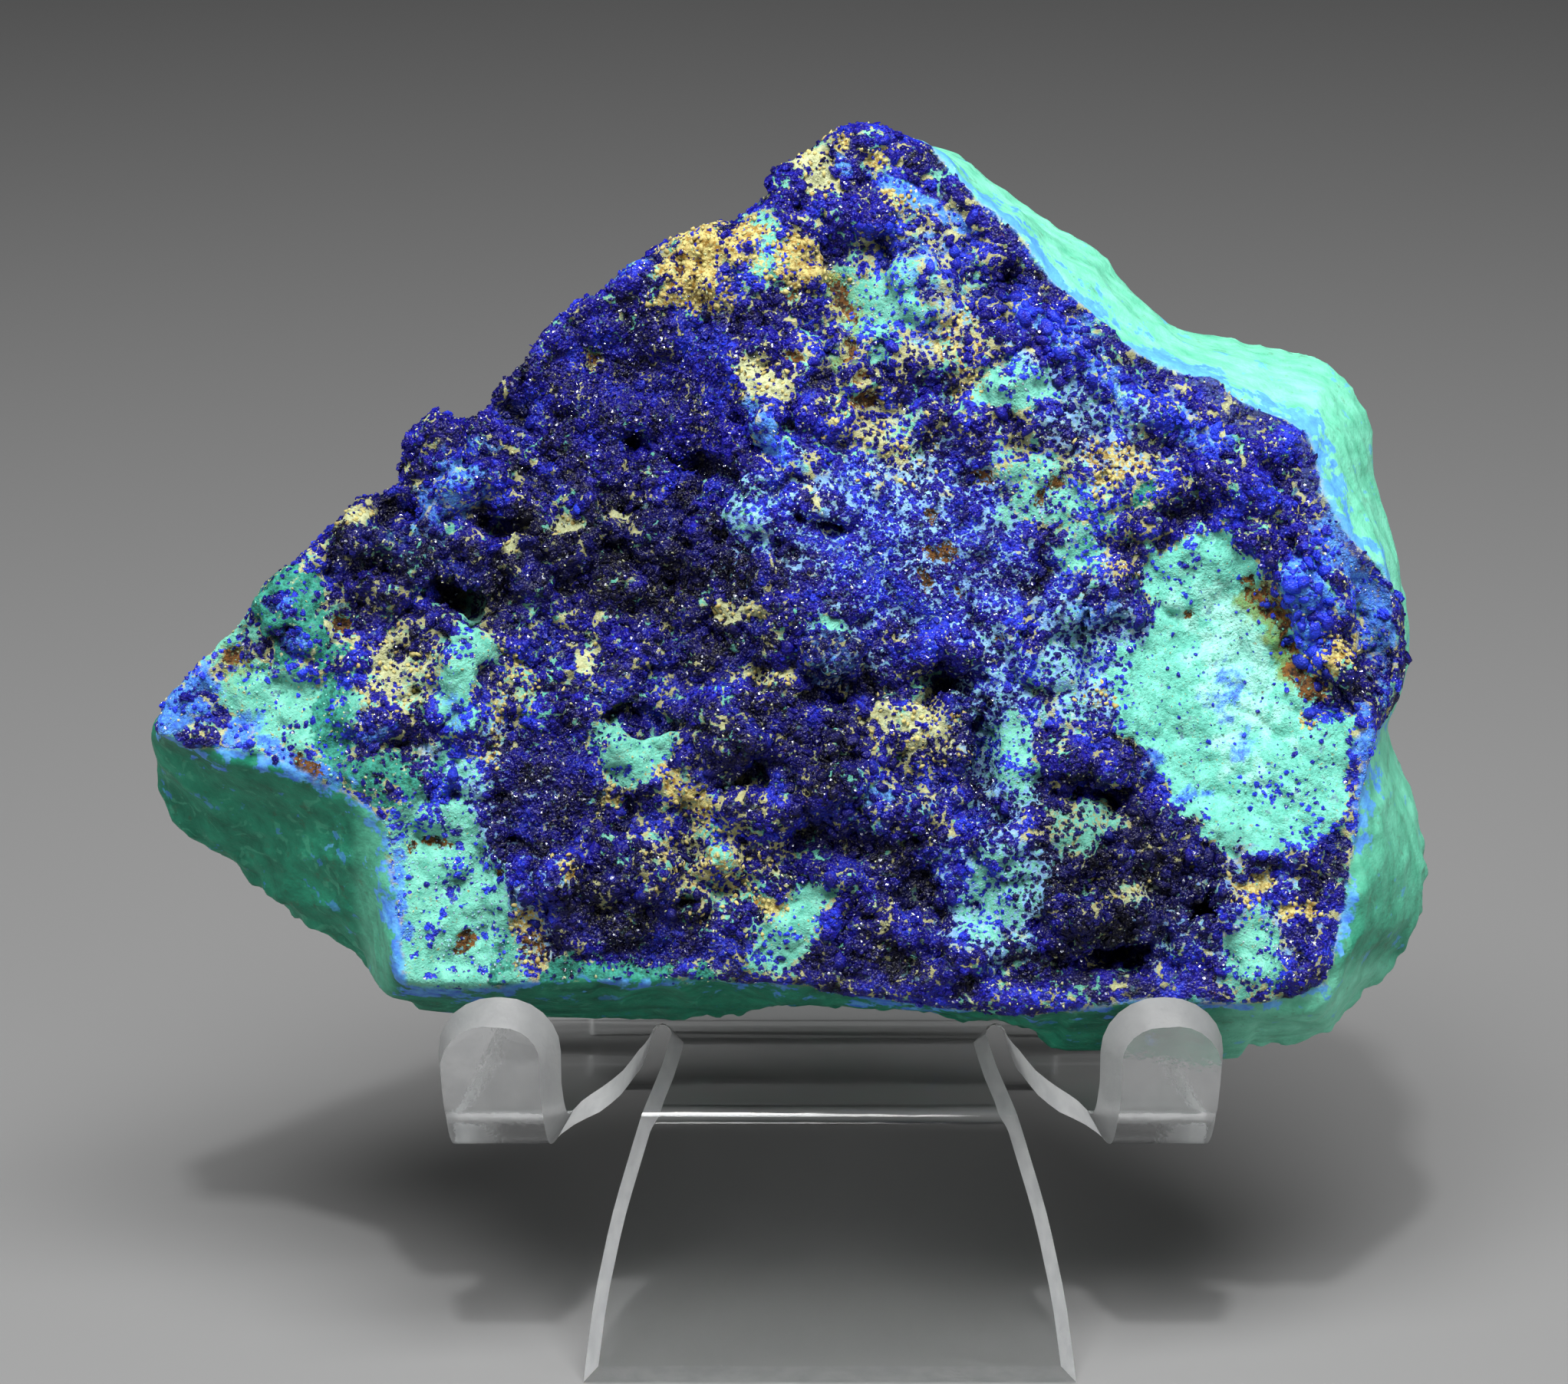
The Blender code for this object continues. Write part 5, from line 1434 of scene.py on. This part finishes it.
# %% Mark each face's finish, and the bends
sheet_shape = bmesh.new()
sheet_shape.from_mesh(merged_copy("clear_stand", "sheet"))
bmesh.ops.dissolve_limit(sheet_shape, angle_limit=math.radians(0.5),
                         verts=sheet_shape.verts[:], edges=sheet_shape.edges[:])
sheet_shape.normal_update()
for face in sheet_shape.faces:
    face.smooth = True
    face.material_index = finish_of(face)
bent = sheet_shape.verts.layers.float.new("bend")
for edge in sheet_shape.edges:
    if len(edge.link_faces) == 2 and 0.01 < edge.calc_face_angle() < BEND_STEP:
        for corner in edge.verts:
            corner[bent] = 1.0
sheet_mesh = bpy.data.meshes.new("sheet")
sheet_shape.to_mesh(sheet_mesh)
sheet_shape.free()
print("corners on bends and flats:", len(sheet_mesh.vertices))

# %% [markdown]
# ## Finishes of the sheet
# Clear acrylic is full transmission with the refraction of acrylic. Frosted edges are the same
# stuff with a rough surface, so each has its own whiteness, how much light it lets through and
# how rough it is. The feet are ground flat and look dark against the floor.

# %% Clear, frosted, ground and hazy
ACRYLIC_IOR = 1.49


def clear_acrylic():
    material, tree, shader = new_material("clear acrylic")
    spot = place(tree)
    shader.inputs["Base Color"].default_value = (0.97, 0.98, 0.98, 1.0)
    shader.inputs["Transmission Weight"].default_value = 1.0
    shader.inputs["IOR"].default_value = ACRYLIC_IOR
    haze = spread(tree, noise_of(tree, spot, 6.0, detail=4.0), 0.45, 0.75, 0.01, 0.06)
    bend = times(tree, stored(tree, "bend"), 0.05)
    tree.links.new(plus(tree, haze, bend), shader.inputs["Roughness"])
    tree.links.new(bumped(tree, noise_of(tree, spot, 9.0, detail=1.0), 0.05),
                   shader.inputs["Normal"])
    return material


def frosted(name, white, see_through, roughness):
    """Sawn or softened acrylic: how white, how much light it lets through, how rough."""
    material, tree, shader = new_material(name)
    spot = place(tree)
    cloudy = noise_of(tree, spot, 1.6, detail=3.0)
    colour = mixed(tree, spread(tree, cloudy, 0.35, 0.65),
                   (0.86 * white, 0.87 * white, 0.88 * white, 1), (0.99 * white, white, white, 1))
    tree.links.new(colour, shader.inputs["Base Color"])
    shader.inputs["Transmission Weight"].default_value = see_through
    shader.inputs["IOR"].default_value = ACRYLIC_IOR
    shader.inputs["Roughness"].default_value = roughness
    tree.links.new(bumped(tree, noise_of(tree, spot, 0.5, detail=3.0), 0.04),
                   shader.inputs["Normal"])
    return material


for finish in (clear_acrylic(), frosted("frosted lip edge", 0.56, 0.75, 0.5),
               frosted("frosted cut side", 1.0, 0.05, 0.55),
               frosted("ground foot", 0.24, 0.0, 0.6), frosted("hazy lip", 0.95, 0.86, 0.12)):
    sheet_mesh.materials.append(finish)
sheet_mesh = shaped(sheet_mesh, "bent_sheet", stand_finish)
stand = in_scene("bent_clear_sheet", sheet_mesh)
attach(stand, "root")
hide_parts("clear_stand")
print(f"stand: {len(sheet_mesh.polygons)} faces")

# %% [markdown]
# ## Floor, lights and camera
# The specimen stands on a plain pale floor. A wide soft box hangs overhead, so that ledges throw
# their shade downwards. A small lamp beside it makes the bright line on the bend and the sparkle
# of the grains, and two weak boxes at the sides show the cut edges of the clear sheet.

# %% Floor
UNDER = -0.02 * MM             # a hair below the feet, so that the two flats don't coincide
FLOOR_GREY = (0.222, 0.222, 0.222, 1.0)

floor_mesh = bpy.data.meshes.new("floor")
floor_mesh.from_pydata([(-3, -3, UNDER), (3, -3, UNDER), (3, 3, UNDER), (-3, 3, UNDER)], [],
                       [(0, 1, 2, 3)])
floor = in_scene("floor", floor_mesh)
floor_material, tree, shader = new_material("pale floor")
shader.inputs["Base Color"].default_value = FLOOR_GREY
shader.inputs["Roughness"].default_value = 0.6
floor_mesh.materials.append(floor_material)
print("floor:", [round(side, 2) for side in floor.dimensions], "m")


# %% Lights
def soft_box(name, spot, aim, width, depth, power):
    """A soft lamp at a spot, turned to a point that it lights, in metres and watts."""
    lamp = bpy.data.lights.new(name, "AREA")
    lamp.shape = "RECTANGLE"
    lamp.size = width
    lamp.size_y = depth
    lamp.energy = power
    holder = in_scene(name, lamp)
    holder.location = spot
    holder.rotation_mode = "QUATERNION"
    holder.rotation_quaternion = (Vector(aim) - Vector(spot)).to_track_quat("-Z", "Y")
    print(f"{name}: {width} by {depth} m, {power} W")


soft_box("overhead", (0.02, -0.17, 0.47), (0.0, -0.01, 0.04), 0.46, 0.18, 3.7)
soft_box("small lamp", (-0.021, -0.26, 0.60), (0.0, 0.0, 0.04), 0.035, 0.035, 1.5)
soft_box("left fill", (-0.7, -0.35, 0.26), (0.0, 0.0, 0.03), 0.4, 0.3, 1.8)
soft_box("right fill", (0.7, -0.35, 0.26), (0.0, 0.0, 0.03), 0.4, 0.3, 1.8)

ROOM_GLOW = 0.018              # a little light from everywhere, so that no shade is black
world = bpy.data.worlds.new("studio")
world.use_nodes = True
world.node_tree.nodes["Background"].inputs[0].default_value = (0.75, 0.76, 0.78, 1.0)
world.node_tree.nodes["Background"].inputs[1].default_value = ROOM_GLOW
bpy.context.scene.world = world
bpy.context.scene.view_settings.view_transform = "Standard"
print("faint glow from all round:", ROOM_GLOW)

# %% Camera
lens = bpy.data.cameras.new("camera")
lens.lens = 100.0
lens.sensor_width = 36.0
lens.clip_start = 0.001
camera = in_scene("camera", lens)
AIM_ASIDE = -3.39              # the camera looks a little left of the stand's middle,
AIM_HEIGHT = 49.5              # this far up the face,
STAND_OFF = 322.5              # and stands this far off
camera.location = ((middle_x + AIM_ASIDE) * MM,
                   (lip_y + AIM_HEIGHT * math.sin(LEAN) - STAND_OFF * math.cos(LEAN)) * MM,
                   (AIM_HEIGHT * math.cos(LEAN) + STAND_OFF * math.sin(LEAN) + FLOOR_DROP) * MM)
camera.rotation_euler = (math.pi / 2 - LEAN, 0.0, 0.0)
bpy.context.scene.camera = camera
print("camera stands at", [round(c, 3) for c in camera.location])
